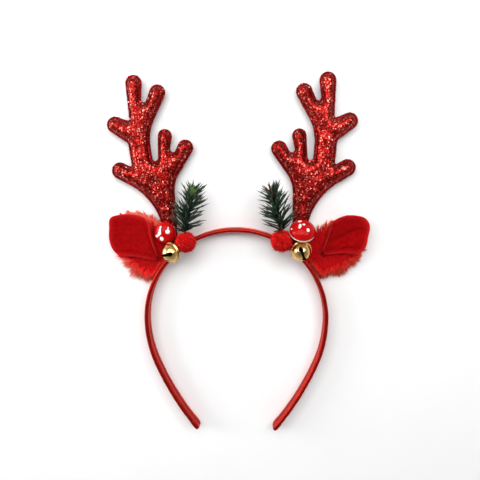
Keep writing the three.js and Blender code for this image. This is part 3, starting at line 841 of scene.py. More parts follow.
YARN = strand_finish(
    "pompom_yarn", (0.42, 0.002, 0.002), (0.82, 0.014, 0.012), variation=0.8, sharpness=0.8,
    Roughness=0.8, Specular_IOR_Level=0.05,
)
NEEDLES = strand_finish(
    "pine_needles", (0.006, 0.02, 0.011), (0.03, 0.062, 0.03), variation=0.9, sharpness=1.4,
    Roughness=0.42,
)
THREAD = strand_finish(
    "seam_thread", (0.25, 0.003, 0.004), (0.3, 0.004, 0.005), variation=0.3, sharpness=1.0,
    Roughness=0.5,
)
BUD_GREEN = strand_finish(
    "pine_bud", (0.035, 0.075, 0.014), (0.09, 0.16, 0.035), variation=0.6, sharpness=1.0,
    Roughness=0.45,
)
DRY_NEEDLES = strand_finish(
    "dry_needles", (0.03, 0.03, 0.015), (0.3, 0.05, 0.03), variation=0.6, sharpness=1.5,
    Roughness=0.5,
)
TINSEL = strand_finish(
    "tinsel", (0.9, 0.25, 0.22), (1.0, 0.6, 0.55), variation=0.8, sharpness=1.0,
    Roughness=0.2, Metallic=0.9,
)


# Small shapes that are repeated.
GOLDEN_ANGLE = math.pi * (3 - math.sqrt(5))


def strand_shape(name, sides, rings, taper, bend=0.0, blunt=0.0, lock=1, thickness=1.0, lean=0.75):
    """Strands of unit length along +Z that stand in a disc of unit width and lean together at their tips."""
    points = []
    shares = []
    faces = []
    for strand in range(lock):
        first = len(points)
        turn = GOLDEN_ANGLE * strand
        foot = Vector((math.cos(turn), math.sin(turn))) * 0.5 * math.sqrt(strand / lock)
        length = 1 - LOCK_UNEVEN * (LOCK_ORDER * strand % 1)
        for ring in range(rings):
            share = ring / rings
            radius = 0.5 * thickness * (1 - taper * share)
            middle = foot * (1 - lean * share) + Vector((bend * share**2, 0))
            for x, y in circle(sides):
                points.append((middle.x + radius * x, middle.y + radius * y, share * length))
                shares.append(share)
        tip = len(points)
        points += [(*(foot * (1 - lean) + Vector((bend, 0))), length), (*foot, -blunt)]
        shares += [1, 0]
        last = tip - sides
        faces += [tuple(i + first for i in face) for face in grid_faces(rings, sides, wrap=True)]
        for side in range(sides):
            after = (side + 1) % sides
            faces += [(last + side, last + after, tip), (first + after, first + side, tip + 1)]
    mesh = bpy.data.meshes.new(name)
    mesh.from_pydata(points, [], faces)
    mark(mesh, "along", shares)
    for face in mesh.polygons:
        face.use_smooth = True
    return show(name, mesh)


def flake_shape(name, sides=6, rise=0.06, depth=0.35):
    """A plate of unit size, whose underside runs to a point that is set in the cloth."""
    points = [(0.5 * x, 0.5 * y, rise) for x, y in circle(sides)]
    points.append((0, 0, -depth))
    faces = [tuple(range(sides))]
    faces += [((i + 1) % sides, i, sides) for i in range(sides)]
    mesh = bpy.data.meshes.new(name)
    mesh.from_pydata(points, [], faces)
    return show(name, mesh)


STRAND = strand_shape("strand", sides=3, rings=2, taper=0.8)
FUR_LOCK = strand_shape("fur_lock", sides=3, rings=2, taper=0.6, lock=6, thickness=0.26)
YARN_LOCK = strand_shape("yarn_lock", sides=3, rings=2, taper=0.15, lock=5, thickness=0.26, lean=0.45)
NEEDLE = strand_shape("needle", sides=5, rings=4, taper=0.55, bend=1.1)
FLAKE = flake_shape("flake")
STITCH = strand_shape("stitch", sides=6, rings=4, taper=0.3, blunt=0.2)
STRAND_TREE = strand_tree()
FLAKE_TREE = flake_tree()
STITCH_TREE = stitch_tree()
NEEDLE_TREE = needle_tree()


# Hoop.
def hoop_line():
    """Points on the hoop's outer face with their outward normals, from the left tip to the right."""
    half = []
    turned = 0.0
    middle = HOOP_MIDDLE.copy()
    radius = HOOP_ARCS[0][0]
    for arc_radius, sweep in HOOP_ARCS:
        middle = middle + Vector((math.sin(turned), math.cos(turned))) * (radius - arc_radius)
        radius = arc_radius
        count = round(math.radians(sweep) * radius / HOOP_STEP)
        for i in range(count):
            angle = turned + math.radians(sweep) * (i + 0.5) / count
            normal = Vector((math.sin(angle), math.cos(angle)))
            half.append((middle + normal * radius, normal))
        turned += math.radians(sweep)
    normal = Vector((math.sin(turned), math.cos(turned)))
    half.append((middle + normal * radius, normal))
    mirrored = [(Vector((-p.x, p.y)), Vector((-n.x, n.y))) for p, n in reversed(half)]
    return mirrored + half


def hoop_section(swell):
    """Pairs of outwards and height round the hoop, with the ribbon's edge lapped on the inner face."""
    half_out = HOOP_THICKNESS / 2 + swell
    half_up = HOOP_DEPTH / 2 + swell
    section = []
    for quarter, (out, up) in enumerate(((1, -1), (1, 1), (-1, 1), (-1, -1))):
        corner = min(HOOP_CORNER["front" if up > 0 else "back"], half_out)
        for i in range(HOOP_CORNER_STEPS + 1):
            angle = math.pi / 2 * (quarter - 1 + i / HOOP_CORNER_STEPS)
            section.append((
                out * (half_out - corner) + corner * math.cos(angle) - HOOP_THICKNESS / 2,
                up * (half_up - corner) + corner * math.sin(angle) + HOOP_DEPTH / 2,
            ))
        if quarter == 0:
            section.append((half_out + HOOP_CROWN - HOOP_THICKNESS / 2, HOOP_DEPTH / 2))
        if quarter == 2:
            for height, lap in HOOP_LAP_ROWS:
                section.append((-half_out - HOOP_LAP * lap - HOOP_THICKNESS / 2, height * HOOP_DEPTH))
    return section


def hoop():
    """The hoop in its ribbon, with a folded cuff at each tip."""
    line = hoop_line()
    lengths = np.cumsum([0] + [(b[0] - a[0]).length for a, b in zip(line, line[1:])])
    rings = []
    for (point, normal), length in zip(line, lengths):
        to_tip = min(length, lengths[-1] - length)
        swell = HOOP_CUFF["rise"] if to_tip < HOOP_CUFF["length"] else 0.0
        rounding = HOOP_CUFF["rounding"] * max(0, 1 - to_tip / HOOP_STEP)
        ring = []
        for out, height in hoop_section(swell - rounding):
            wave = HOOP_RIPPLE["rise"] * ripple((length, out, height), HOOP_RIPPLE["size"])
            place = point + normal * (out + wave)
            ring.append((place.x, place.y, max(height, 0.0)))
        rings.append(ring)
    columns = len(rings[0])
    points = [point for ring in rings for point in ring]
    obj = build("hoop_ribbon", points, tube_faces(len(rings), columns))
    ribbon_map(obj, lengths, columns)
    return dress(obj, SATIN, ["hoop"])


def ribbon_map(obj, lengths, columns):
    """A map of the length along the hoop and the way round it."""
    layer = obj.data.uv_layers.new(name="ribbon")
    round_step = 2 * (HOOP_THICKNESS + HOOP_DEPTH) / columns
    for face in obj.data.polygons:
        spots = [divmod(obj.data.loops[i].vertex_index, columns) for i in face.loop_indices]
        wraps = len(spots) == 4 and max(c for _, c in spots) - min(c for _, c in spots) > columns / 2
        for i, (row, column) in zip(face.loop_indices, spots):
            across = columns if wraps and column == 0 else column
            layer.data[i].uv = (lengths[row] / RIBBON_UNIT, across * round_step / RIBBON_UNIT)


# Antlers.
def belt(inset):
    """The antler's outline moved inwards: an arc round each peg, with tangents between."""
    pegs = [
        (Vector((x, y)), (-radius if crotch else radius) - inset) for x, y, radius, crotch in ANTLER_PEGS
    ]
    normals = []
    for (middle, radius), (after, next_radius) in zip(pegs, pegs[1:] + pegs[:1]):
        way = after - middle
        lean = math.asin((next_radius - radius) / way.length)
        normals.append(math.atan2(way.y, way.x) - lean - math.pi / 2)
    outline = []
    for i, (middle, radius) in enumerate(pegs):
        turn = (normals[i] - normals[i - 1] + math.pi) % (2 * math.pi) - math.pi
        if radius > 0 > turn:
            turn += 2 * math.pi
        steps = max(2, round(2 * abs(radius * turn) / ANTLER_STEP))
        for step in range(steps + 1):
            angle = normals[i - 1] + turn * step / steps
            outline.append(middle + radius * Vector((math.cos(angle), math.sin(angle))))
    return resampled(np.array(outline), ANTLER_STEP)


def resampled(points, spacing):
    """A closed outline as evenly spaced points."""
    loop = np.vstack([points, points[:1]])
    lengths = np.concatenate([[0], np.cumsum(np.linalg.norm(np.diff(loop, axis=0), axis=1))])
    marks = np.linspace(0, lengths[-1], round(lengths[-1] / spacing), endpoint=False)
    return np.column_stack([np.interp(marks, lengths, loop[:, k]) for k in (0, 1)])


def placed(points, side, inset):
    """Points of the antler's outline set on one side, and moved off the hoop's outer face."""
    (root_out, root_up), lean = SIDES[side]["antler"]
    angle = math.radians(lean)
    x = root_out + points[:, 0] * math.cos(angle) - points[:, 1] * math.sin(angle)
    y = root_up + points[:, 0] * math.sin(angle) + points[:, 1] * math.cos(angle)
    spots = np.column_stack([x, y]) - HOOP_MIDDLE
    away = np.linalg.norm(spots, axis=1, keepdims=True)
    spots *= np.maximum(away, HOOP_ARCS[0][0] + ROOT_GAP + inset) / away
    return (spots + HOOP_MIDDLE) * (SIDES[side]["out"], 1)


def nearest(points, outline):
    """Distance from each point to an outline, how far round it that is, and whether it is inside."""
    start = outline[None]
    step = np.roll(outline, -1, axis=0)[None] - start
    offset = points[:, None] - start
    share = np.clip((offset * step).sum(2) / np.maximum((step**2).sum(2), TINY), 0, 1)
    distance = np.linalg.norm(offset - share[..., None] * step, axis=2)
    above = start[..., 1] > points[:, None, 1]
    next_above = start[..., 1] + step[..., 1] > points[:, None, 1]
    with np.errstate(divide="ignore", invalid="ignore"):
        crossing = start[..., 0] + step[..., 0] * offset[..., 1] / step[..., 1]
    inside = ((above != next_above) & (points[:, None, 0] < crossing)).sum(1) % 2 == 1
    return distance.min(1), distance.argmin(1) * ANTLER_STEP, inside


def pad_height(distance):
    """Half the antler's thickness at a distance inside its outline: rim, sewn groove, padding."""
    rim = ANTLER_RIM["half"] * np.sqrt(np.clip(distance / ANTLER_RIM["rounding"], ANTLER_RIM["edge"], 1))
    groove = ANTLER_SEAM["depth"] * bump_at(distance, ANTLER_SEAM["inset"], ANTLER_SEAM["width"])
    inner = np.maximum(distance - ANTLER_SEAM["inset"], 0)
    return rim - groove + ANTLER_PUFF["rise"] * (1 - np.exp(-inner / ANTLER_PUFF["reach"]))


def antler_sheet(side):
    """Points and triangles that fill the antler's outline, in rows along its seam, and the outline."""
    rings = [placed(belt(inset), side, inset) for inset in ANTLER_RINGS]
    outline = rings[0]
    low = outline.min(0)
    high = outline.max(0)
    columns = np.arange(low[0], high[0], ANTLER_STEP)
    rows = np.arange(low[1], high[1], ANTLER_STEP * math.sqrt(0.75))
    lattice = np.array([(x + (i % 2) * ANTLER_STEP / 2, y) for i, y in enumerate(rows) for x in columns])
    depth, _, inside = nearest(lattice, outline)
    lattice = lattice[inside & (depth > ANTLER_RINGS[-1] + ANTLER_STEP / 2)]
    spots = [Vector(point) for point in np.vstack([*rings, lattice])]
    points, _, faces, *_ = delaunay_2d_cdt(
        spots, [], [list(range(len(outline)))], ANTLER_FILL["inside_only"], ANTLER_FILL["epsilon"]
    )
    return np.array([tuple(point) for point in points]), [tuple(face) for face in faces], outline


def two_sided(name, front, back, faces, **marks):
    """A closed object from a front and a back sheet of the same faces, joined along their rim."""
    count = len(front)
    directed = {(a, b) for face in faces for a, b in zip(face, face[1:] + face[:1])}
    rim = sorted((a, b) for a, b in directed if (b, a) not in directed)
    shell = list(faces)
    shell += [tuple(i + count for i in reversed(face)) for face in faces]
    shell += [(b, a, a + count, b + count) for a, b in rim]
    return build(name, [*front, *back], shell, **{label: np.tile(row, 2) for label, row in marks.items()})


def antler(side):
    """A padded antler with its glitter and its seam."""
    flat, faces, outline = antler_sheet(side)
    depth, around, _ = nearest(flat, outline)
    inner = np.maximum(depth - ANTLER_SEAM["inset"], 0)
    pucker = np.array([ripple((s, 0, 0), ANTLER_PUCKER["size"], ANTLER_PUCKER["seed"]) for s in around])
    lump = np.array([ripple((x, y, 0), ANTLER_LUMP["size"], ANTLER_LUMP["seed"]) for x, y in flat])
    off_seam = 1 - np.exp(-inner)
    height = pad_height(depth)
    height += off_seam * ANTLER_PUCKER["rise"] * pucker * np.exp(-inner / ANTLER_PUCKER["reach"])
    height += off_seam * ANTLER_LUMP["rise"] * lump
    front = np.column_stack([flat, ANTLER_BACK + height])
    back = np.column_stack([flat, ANTLER_BACK - np.minimum(height, ANTLER_BACK)])
    strewn = np.where(depth > ANTLER_SEAM["inset"], 1.0, ANTLER_FLAKES["on_rim"])
    cover = two_sided(f"antler_{side}_cover", front, back, faces, strewn=strewn)
    dress(cover, GLITTER_CLOTH, [f"antler_{side}"])
    flakes = grown(
        f"antler_{side}_flakes", cover, FLAKE_TREE, Flake=FLAKE, Density=ANTLER_FLAKES["per_mm2"] / MM**2,
        Size=ANTLER_FLAKES["size"] * MM, Tilt=ANTLER_FLAKES["tilt"], Seed=ANTLER_FLAKES["seed"],
        Material=FLAKES,
    )
    for vertex in flakes.data.vertices:
        vertex.co.z = max(vertex.co.z, 0.0)
    dress(flakes)
    seam = placed(belt(ANTLER_SEAM["inset"]), side, ANTLER_SEAM["inset"])
    seam_height = ANTLER_BACK + float(pad_height(np.array([ANTLER_SEAM["inset"]]))[0])
    line = polyline("seam", [(x, y, seam_height) for x, y in seam], closed=True)
    stitches = grown(
        f"antler_{side}_stitches", line, STITCH_TREE, Stitch=STITCH, Pitch=STITCHES["pitch"] * MM,
        Length=STITCHES["length"] * MM, Width=STITCHES["width"] * MM, Material=THREAD,
    )
    dress(stitches)
    discard(line)
    return cover


# Ears.
def velvet_ear(side):
    """The ear's velvet front: a cupped leaf with rolled folds, gathered into pleats at its root."""
    place = SIDES[side]
    angles = [row[0] for row in VELVET_RIM]
    reaches = [row[1 if side == "left" else 2] for row in VELVET_RIM]
    even = np.linspace(0, 1, VELVET_GRID)
    crowded = 0.5 - 0.5 * np.cos(np.pi * even)
    rows = (1 - VELVET_CROWDING) * even + VELVET_CROWDING * crowded
    across, outwards = np.meshgrid(rows, np.sin(np.pi / 2 * even), indexing="ij")
    along = EAR_GATHER + (1 - EAR_GATHER) * outwards
    angle = angles[0] + (angles[-1] - angles[0]) * across
    reach = through(angle, angles, reaches) * along
    low_bow, high_bow = FOLD_BOW[side]
    bow = (low_bow + (high_bow - low_bow) * across) * np.sin(np.pi * along)
    low_flare, high_flare = FOLD_FLARE[side]
    near_fold = FLARE_POWER["across"]
    flare = low_flare * (1 - across) ** near_fold + high_flare * across**near_fold
    bow += flare * along ** FLARE_POWER["along"]
    turned = np.radians(angle + bow)
    x = place["out"] * (place["gather"][0] + reach * np.cos(turned))
    y = place["gather"][1] + reach * np.sin(turned)
    to_fold = np.minimum(across, 1 - across) * math.radians(angles[-1] - angles[0]) * reach
    to_rim = reach / along - reach
    edge = np.minimum(to_fold, to_rim)
    roll = np.sqrt(1 - (1 - np.clip(edge / FOLD["roll"], 0, 1)) ** 2)
    valley = 1 - np.abs(2 * across - 1) ** EAR_CUP_SHARPNESS
    middle = EAR_EDGE_BACK - EAR_CUP * valley * np.sin(np.pi * EAR_CUP_WAVE * along) + VELVET_WALL / 2
    relief = FOLD["ridge"] * bump_at(to_fold, FOLD["roll"], FOLD["width"])
    relief -= FOLD["groove"] * bump_at(to_fold, FOLD["groove_at"], FOLD["groove_width"])
    relief += FOLD["hem"] * bump_at(to_rim, FOLD["roll"], FOLD["width"])
    relief += PLEATS["rise"] * np.exp(-reach / PLEATS["reach"]) * np.sin(2 * np.pi * PLEATS["count"] * across)
    crease = CREASE[side]
    line = crease["foot"] + (crease["tip"] - crease["foot"]) * along
    window = np.clip((along - crease["from"]) / CREASE_FADE, 0, 1)
    window *= np.clip((crease["to"] - along) / CREASE_FADE, 0, 1)
    relief -= crease["depth"] * window * bump_at((across - line) * reach, 0, crease["width"])
    waves = np.vectorize(lambda a, b: ripple((a, b, 0), FOLD["wave_size"], FOLD["wave_seed"]))(x, y)
    relief += FOLD["wave"] * waves
    front = np.stack([x, y, middle + roll * (VELVET_WALL / 2 + relief)], axis=-1).reshape(-1, 3)
    back = np.stack([x, y, middle - roll * VELVET_WALL / 2], axis=-1).reshape(-1, 3)
    faces = grid_faces(VELVET_GRID, VELVET_GRID)
    # The velvet is painted paler along the folds, partly wear and partly painted highlight, and along the rim
    # as a painted highlight of its lit pile.
    worn = bump_at(to_fold, FOLD["roll"], FOLD["worn"])
    worn *= np.clip(reach / PLEATS["reach"] - FOLD["wear_and_highlight_from"], 0, FOLD["paleness"])
    worn = np.maximum(worn, bump_at(to_rim, 0, FOLD["rim_painted_highlight"]))
    leaf = two_sided(f"ear_{side}_velvet", front, back, faces, worn=worn.ravel())
    dress(leaf, VELVET, [f"ear_{side}"])
    return leaf


def combed(obj, flows, reaches, piles, neighbours):
    """Stores on each vertex which way its strands lie, how far they reach to a neighbour, and how many."""
    trees = [surface_of(other) for other in neighbours]
    ways = [Vector(flow).normalized() for flow in flows]
    lengths = []
    for vertex, way, reach in zip(obj.data.vertices, ways, reaches):
        length = reach * MM
        for tree in trees:
            hit = tree.ray_cast(vertex.co, way, length)[3]
            if hit is not None:
                length = hit
        lengths.append(length)
    stored = obj.data.attributes.new("flow", "FLOAT_VECTOR", "POINT")
    stored.data.foreach_set("vector", [c for way in ways for c in way])
    mark(obj.data, "reach", lengths)
    mark(obj.data, "pile", piles)


def soft_copy(node, name):
    """A copy of a solid with its facets melted into one soft skin."""
    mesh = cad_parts[node].data.copy()
    with edited(mesh) as body:
        bmesh.ops.remove_doubles(body, verts=body.verts, dist=WELD * MM)
    mesh.materials.clear()
    obj = show(name + "_solid", mesh)
    remesh = obj.modifiers.new("remesh", "REMESH")
    remesh.mode = "VOXEL"
    remesh.voxel_size = FUR["voxel"] * MM
    remesh.use_smooth_shade = True
    smooth = obj.modifiers.new("smooth", "SMOOTH")
    smooth.factor = FUR["melt"]
    smooth.iterations = FUR["rounds"]
    return frozen(obj, name)


def surface_of(obj):
    return BVHTree.FromPolygons([v.co for v in obj.data.vertices], [p.vertices for p in obj.data.polygons])


def pile_way(side, point):
    """Which way the fur lies at a point, how far the rim hides it, and if it is on the upper flap."""
    out = SIDES[side]["out"]
    gather_out, gather_up = SIDES[side]["gather"]
    angle = math.degrees(math.atan2(point.y / MM - gather_up, out * point.x / MM - gather_out))
    off = angle - FUR_TURN["middle"]
    share = min(1.0, max(0.0, (abs(off) - FUR_TURN["from"]) / (FUR_TURN["to"] - FUR_TURN["from"])))
    turned = math.radians(angle + share * FUR_TURN["upper" if off > 0 else "lower"])
    low, low_fade, high, high_fade = SMOOTH_RIM[side]
    hidden = min((angle - low) / low_fade, (high - angle) / high_fade)
    return Vector((out * math.cos(turned), math.sin(turned), 0)), min(1.0, max(0.0, hidden)), off > 0


def ear_fur(side, neighbours):
    """The ear's fur back: a soft backing and a pile that is combed away from the gather and the folds."""
    backing = soft_copy(f"ear_fur_{side}", f"ear_{side}_backing")
    for vertex in backing.data.vertices:
        vertex.co.z = max(vertex.co.z, FUR["floor"] * MM)
    velvet = surface_of(neighbours[0])
    own = surface_of(backing)
    front = Vector((0, 0, 1))
    flows = []
    reaches = []
    piles = []
    fringes = []
    for vertex in backing.data.vertices:
        way, hidden, upper = pile_way(side, vertex.co)
        flat = vertex.normal.z < FUR["back_facing"]
        above = Vector((vertex.co.x, vertex.co.y, 1))
        steps = range(1, FUR["fringe"] + 1)
        inside = sum(own.ray_cast(above + way * step * MM, -front)[0] is not None for step in steps)
        fringe = 1 - inside / FUR["fringe"]
        flows.append(way + front * FUR["back_lift" if flat else "lift"])
        grown_out = FUR["short"] + (FUR["length"] - FUR["short"]) * (1.0 if flat else fringe)
        grown_out += (FUR["rim"] - grown_out) * hidden * fringe
        grown_out *= UPPER_LENGTH if upper else 1.0
        clump = ripple(vertex.co / MM, FUR["clump_size"], FUR["clump_seed"])
        reaches.append(grown_out * (1 + FUR["clump"] * clump))
        spots = (vertex.co, vertex.co + way * FUR["under_velvet"] * MM)
        covered = all(velvet.ray_cast(spot, front)[0] for spot in spots)
        pile = (UPPER_FUR[side] if upper else 1.0) * min(1.0, FUR["thickening"] * fringe)
        piles.append(FUR["on_back"] if flat else 0.0 if covered else pile)
        fringes.append(FRINGE_PALENESS[side][upper] * fringe ** FUR["paling"])
    combed(backing, flows, reaches, piles, neighbours)
    mark(backing.data, "fringe", fringes)
    dress(backing, FUR_BACKING, [f"ear_fur_{side}"])
    strands = grown(
        f"ear_{side}_fur", backing, STRAND_TREE, Strand=FUR_LOCK, Density=FUR["per_mm2"] / MM**2,
        Width=FUR["width"] * MM, Stretch=1.0, Frizz=FUR["frizz"], Seed=FUR["seed"],
        Material=FUR_STRANDS[side],
    )
    for vertex in strands.data.vertices:
        if vertex.co.z < FUR["floor"] * MM:
            vertex.co.z = FUR["floor"] * MM * math.exp(vertex.co.z / MM / FUR["floor"] - 1)
    dress(strands)


# Pompoms.
def pompom(side, neighbours):
    """A ball of yarn ends, flat where it sits on the hoop, with a few wisps and glints of tinsel."""
    middle = on_side(side, SIDES[side]["pompom"])
    mesh = bpy.data.meshes.new(f"pompom_{side}_core")
    with edited(mesh) as body:
        bmesh.ops.create_icosphere(body, subdivisions=POMPOM["subdivisions"], radius=POMPOM["core"] * MM)
        for vertex in body.verts:
            swell = 1 + POMPOM["lump"] * ripple(vertex.co / MM, POMPOM["lump_size"], POMPOM["lump_seed"])
            vertex.co = middle + vertex.co * swell
            vertex.co.z = max(vertex.co.z, POMPOM["seat"] * MM)
        for face in body.faces:
            face.smooth = True
    core = show(mesh.name, mesh)
    flows = [vertex.co - middle for vertex in mesh.vertices]
    for flow in flows:
        if flow.z < 0:
            flow.z *= POMPOM["flatten"]
    combed(core, flows, [POMPOM_LENGTH[side]] * len(flows), [1.0] * len(flows), neighbours)
    dress(core, YARN_CORE, [f"pompom_{side}"])
    looks = {"yarn": (YARN_LOCK, YARN), "wisps": (STRAND, YARN), "tinsel": (STRAND, TINSEL)}
    for seed, (kind, size) in enumerate(POMPOM_ENDS.items(), POMPOM["seed"]):
        shape, finish = looks[kind]
        ends = grown(
            f"pompom_{side}_{kind}", core, STRAND_TREE, Strand=shape, Density=size["per_mm2"] / MM**2,
            Width=size["width"] * MM, Stretch=size["stretch"], Frizz=size["frizz"], Seed=seed,
            Material=finish,
        )
        dress(ends)


# Sprigs.
def twig_line(side):
    """The twig's middle line from its foot on the hoop to its tip."""
    (foot_out, foot_up), (tip_out, tip_up) = SIDES[side]["sprig"]
    shares = np.linspace(TWIG["start"], 1, TWIG["steps"])
    heights = through(shares, *zip(*TWIG_HEIGHTS))
    x = SIDES[side]["out"] * (foot_out + (tip_out - foot_out) * shares)
    return np.column_stack([x, foot_up + (tip_up - foot_up) * shares, heights])


def tube(name, line, radii, sides):
    """A closed tube along a line that nowhere points to the front."""
    points = []
    for i, point in enumerate(line):
        ahead = Vector(line[min(i + 1, len(line) - 1)] - line[max(i - 1, 0)]).normalized()
        across = ahead.cross(Vector((0, 0, 1))).normalized()
        forwards = across.cross(ahead)
        points += [Vector(point) + radii[i] * (across * x + forwards * y) for x, y in circle(sides)]
    return build(name, points, tube_faces(len(line), sides))


def sprig(side):
    """A knotty twig with its needles, and a bud or a few dry needles at its tip."""
    line = twig_line(side)
    radii = []
    for i in range(len(line)):
        knot = TWIG["knot"] * ripple((i, 0, 0), TWIG["knot_size"])
        radii.append(TWIG["radius"] * (1 - TWIG["taper"] * i / len(line)) * (1 + knot))
    twig = tube(f"pine_{side}_twig", line, radii, TWIG["sides"])
    dress(twig, BARK, [f"pine_sprig_{side}"])
    path = polyline("twig_path", line)
    tip = polyline("twig_tip", line[-TWIG["bud_steps"]:] + np.array(TWIG["bud_offset"]))
    rows = [
        ("needles", path, PINE_NEEDLES, NEEDLES),
        ("bud", tip, BUD[side], BUD_GREEN if side == "left" else DRY_NEEDLES),
    ]
    for seed, (kind, source, size, finish) in enumerate(rows, TWIG["seed"]):
        at_tip = {"Tip Length": size["tip_length"] * MM, "Tip Spread": math.radians(size["tip_spread"])}
        needles = grown(
            f"pine_{side}_{kind}", source, NEEDLE_TREE, Needle=NEEDLE, Needles=size["count"],
            Start=size["start"], Length=size["length"] * MM, Width=size["width"] * MM,
            Spread=math.radians(size["spread"]), Seed=seed, Material=finish, **at_tip,
        )
        dress(needles)
    discard(path, tip)


# Mushrooms and bells.
def lathe(name, profile, sides, place):
    """A closed solid turned about +Y from pairs of radius and height, and set in its place."""
    points = []
    for radius, height in profile:
        points += [place @ Vector((radius * x, height, radius * z)) for x, z in circle(sides)]
    return build(name, points, grid_faces(len(profile), sides, wrap=True))


def mushroom_place(side):
    spot = SIDES[side]["mushroom"]
    turn = Vector((0, 1, 0)).rotation_difference(Vector(spot["axis"]).normalized())
    return mirror(side) @ Matrix.Translation(spot["middle"]) @ turn.to_matrix().to_4x4()


def dome(radius, share):
    """Radius and height of the cap's dome at a share of its way from rim to top."""
    angle = math.pi / 2 * share
    above_lip = radius * CAP["height_share"] - CAP["lip"]
    return radius * math.cos(angle), CAP["lip"] + above_lip * math.sin(angle)


def mushroom(side):
    """A mushroom's cap with its paint, and the underside that carries it."""
    radius = SIDES[side]["mushroom"]["radius"]
    place = mushroom_place(side)
    profile = [(0, CAP["gap"])]
    profile += [(radius - inwards, CAP["gap"] + up) for inwards, up in CAP_RIM]
    profile += [dome(radius, i / CAP["steps"]) for i in range(CAP["steps"] + 1)]
    cap = lathe(f"mushroom_{side}_cap", profile, CAP["sides"], place)
    dress(cap, LACQUER, [f"mushroom_cap_{side}"])
    dress(paint_spots(side, radius, place), PAINT)
    dress(underside(side, place), CREAM, [f"mushroom_underside_{side}"])
    return cap


def underside(side, place):
    """The pale gills under the cap, which belly out round the stub of the stem."""
    spot = SIDES[side]["mushroom"]
    rim = spot["radius"] - spot["inset"]
    foot = -UNDERSIDE["thickness"] - spot["stem"]
    stem = UNDERSIDE["stem_radius"]
    rows = [(stem, foot, 0), (stem, UNDERSIDE["stem_top"] - spot["belly"], 0)]
    rows += [(share * rim, -depth * spot["belly"], gill) for share, depth, gill in UNDERSIDE_ROWS]
    rows += [(rim - inwards, height, 0) for inwards, height in UNDERSIDE_LIP]
    sides = GILLS["count"] * GILLS["sides"]
    points = [place @ Vector((0, foot, 0))]
    for radius, height, depth in rows:
        for i, (x, z) in enumerate(circle(sides)):
            gill = GILLS["depth"] * depth * abs(math.sin(math.pi * i / GILLS["sides"]))
            points.append(place @ Vector((radius * x, height - gill, radius * z)))
    points.append(place @ Vector((0, 0, 0)))
    faces = [tuple(i + 1 for i in face) for face in grid_faces(len(rows), sides, wrap=True)]
    last = 1 + (len(rows) - 1) * sides
    faces += [(0, 1 + i, 1 + (i + 1) % sides) for i in range(sides)]
    faces += [(len(points) - 1, last + (i + 1) % sides, last + i) for i in range(sides)]
    return build(f"mushroom_{side}_underside", points, faces)


def paint_spots(side, radius, place):
    """Raised drops of paint on the cap, each a stroke from one point of its disc to another."""
    rows, columns = PAINT_GRID["rows"], PAINT_GRID["columns"]
    front = []
    back = []
    thick = []
    for row in range(rows + 1):
        ring, height = dome(radius, 1 - row / rows)
        for x, z in circle(columns):
            spot = Vector((ring * x, ring * z)) / radius
            off = min(stroke_distance(spot, stroke) for stroke in PAINT_STROKES[side])
            cover = 1 - max(0.0, min(1.0, off / PAINT_DROP["edge"] + 0.5))
            rise = PAINT_DROP["rise"] * math.sqrt(cover)
            rise -= PAINT_DROP["sunk"] * (1 - min(1, PAINT_DROP["sinking"] * cover))
            out = Vector((spot.x, CAP["height_share"], spot.y)).normalized()
            foot = Vector((ring * x, height, ring * z))
            front.append(place @ (foot + out * rise))
            back.append(place @ (foot - out * PAINT_DROP["depth"]))
            thick.append(cover)
    faces = grid_faces(rows + 1, columns, wrap=True)
    faces = [face for face in faces if max(thick[i] for i in face) > 0]
    obj = two_sided(f"mushroom_{side}_spots", front, back, faces)
    with edited(obj.data) as body:
        loose = [vertex for vertex in body.verts if not vertex.link_faces]
        bmesh.ops.delete(body, geom=loose, context="VERTS")
    return obj


def stroke_distance(spot, stroke):
    """Distance from a spot to the edge of a stroke, below nought inside it."""
    x1, y1, x2, y2, width = stroke
    start = Vector((x1, y1))
    step = Vector((x2, y2)) - start
    share = 0.0
    if step.length > 0:
        share = max(0.0, min(1.0, (spot - start).dot(step) / step.length_squared))
    wobble = PAINT_DROP["wobble"] * ripple((spot.x, spot.y, width), PAINT_DROP["wobble_size"])
    return (spot - start - step * share).length - width - wobble


def half_circle(rows):
    """Angles from the bottom of a ball to its top."""
    return [math.pi * (i / rows - 0.5) for i in range(rows + 1)]


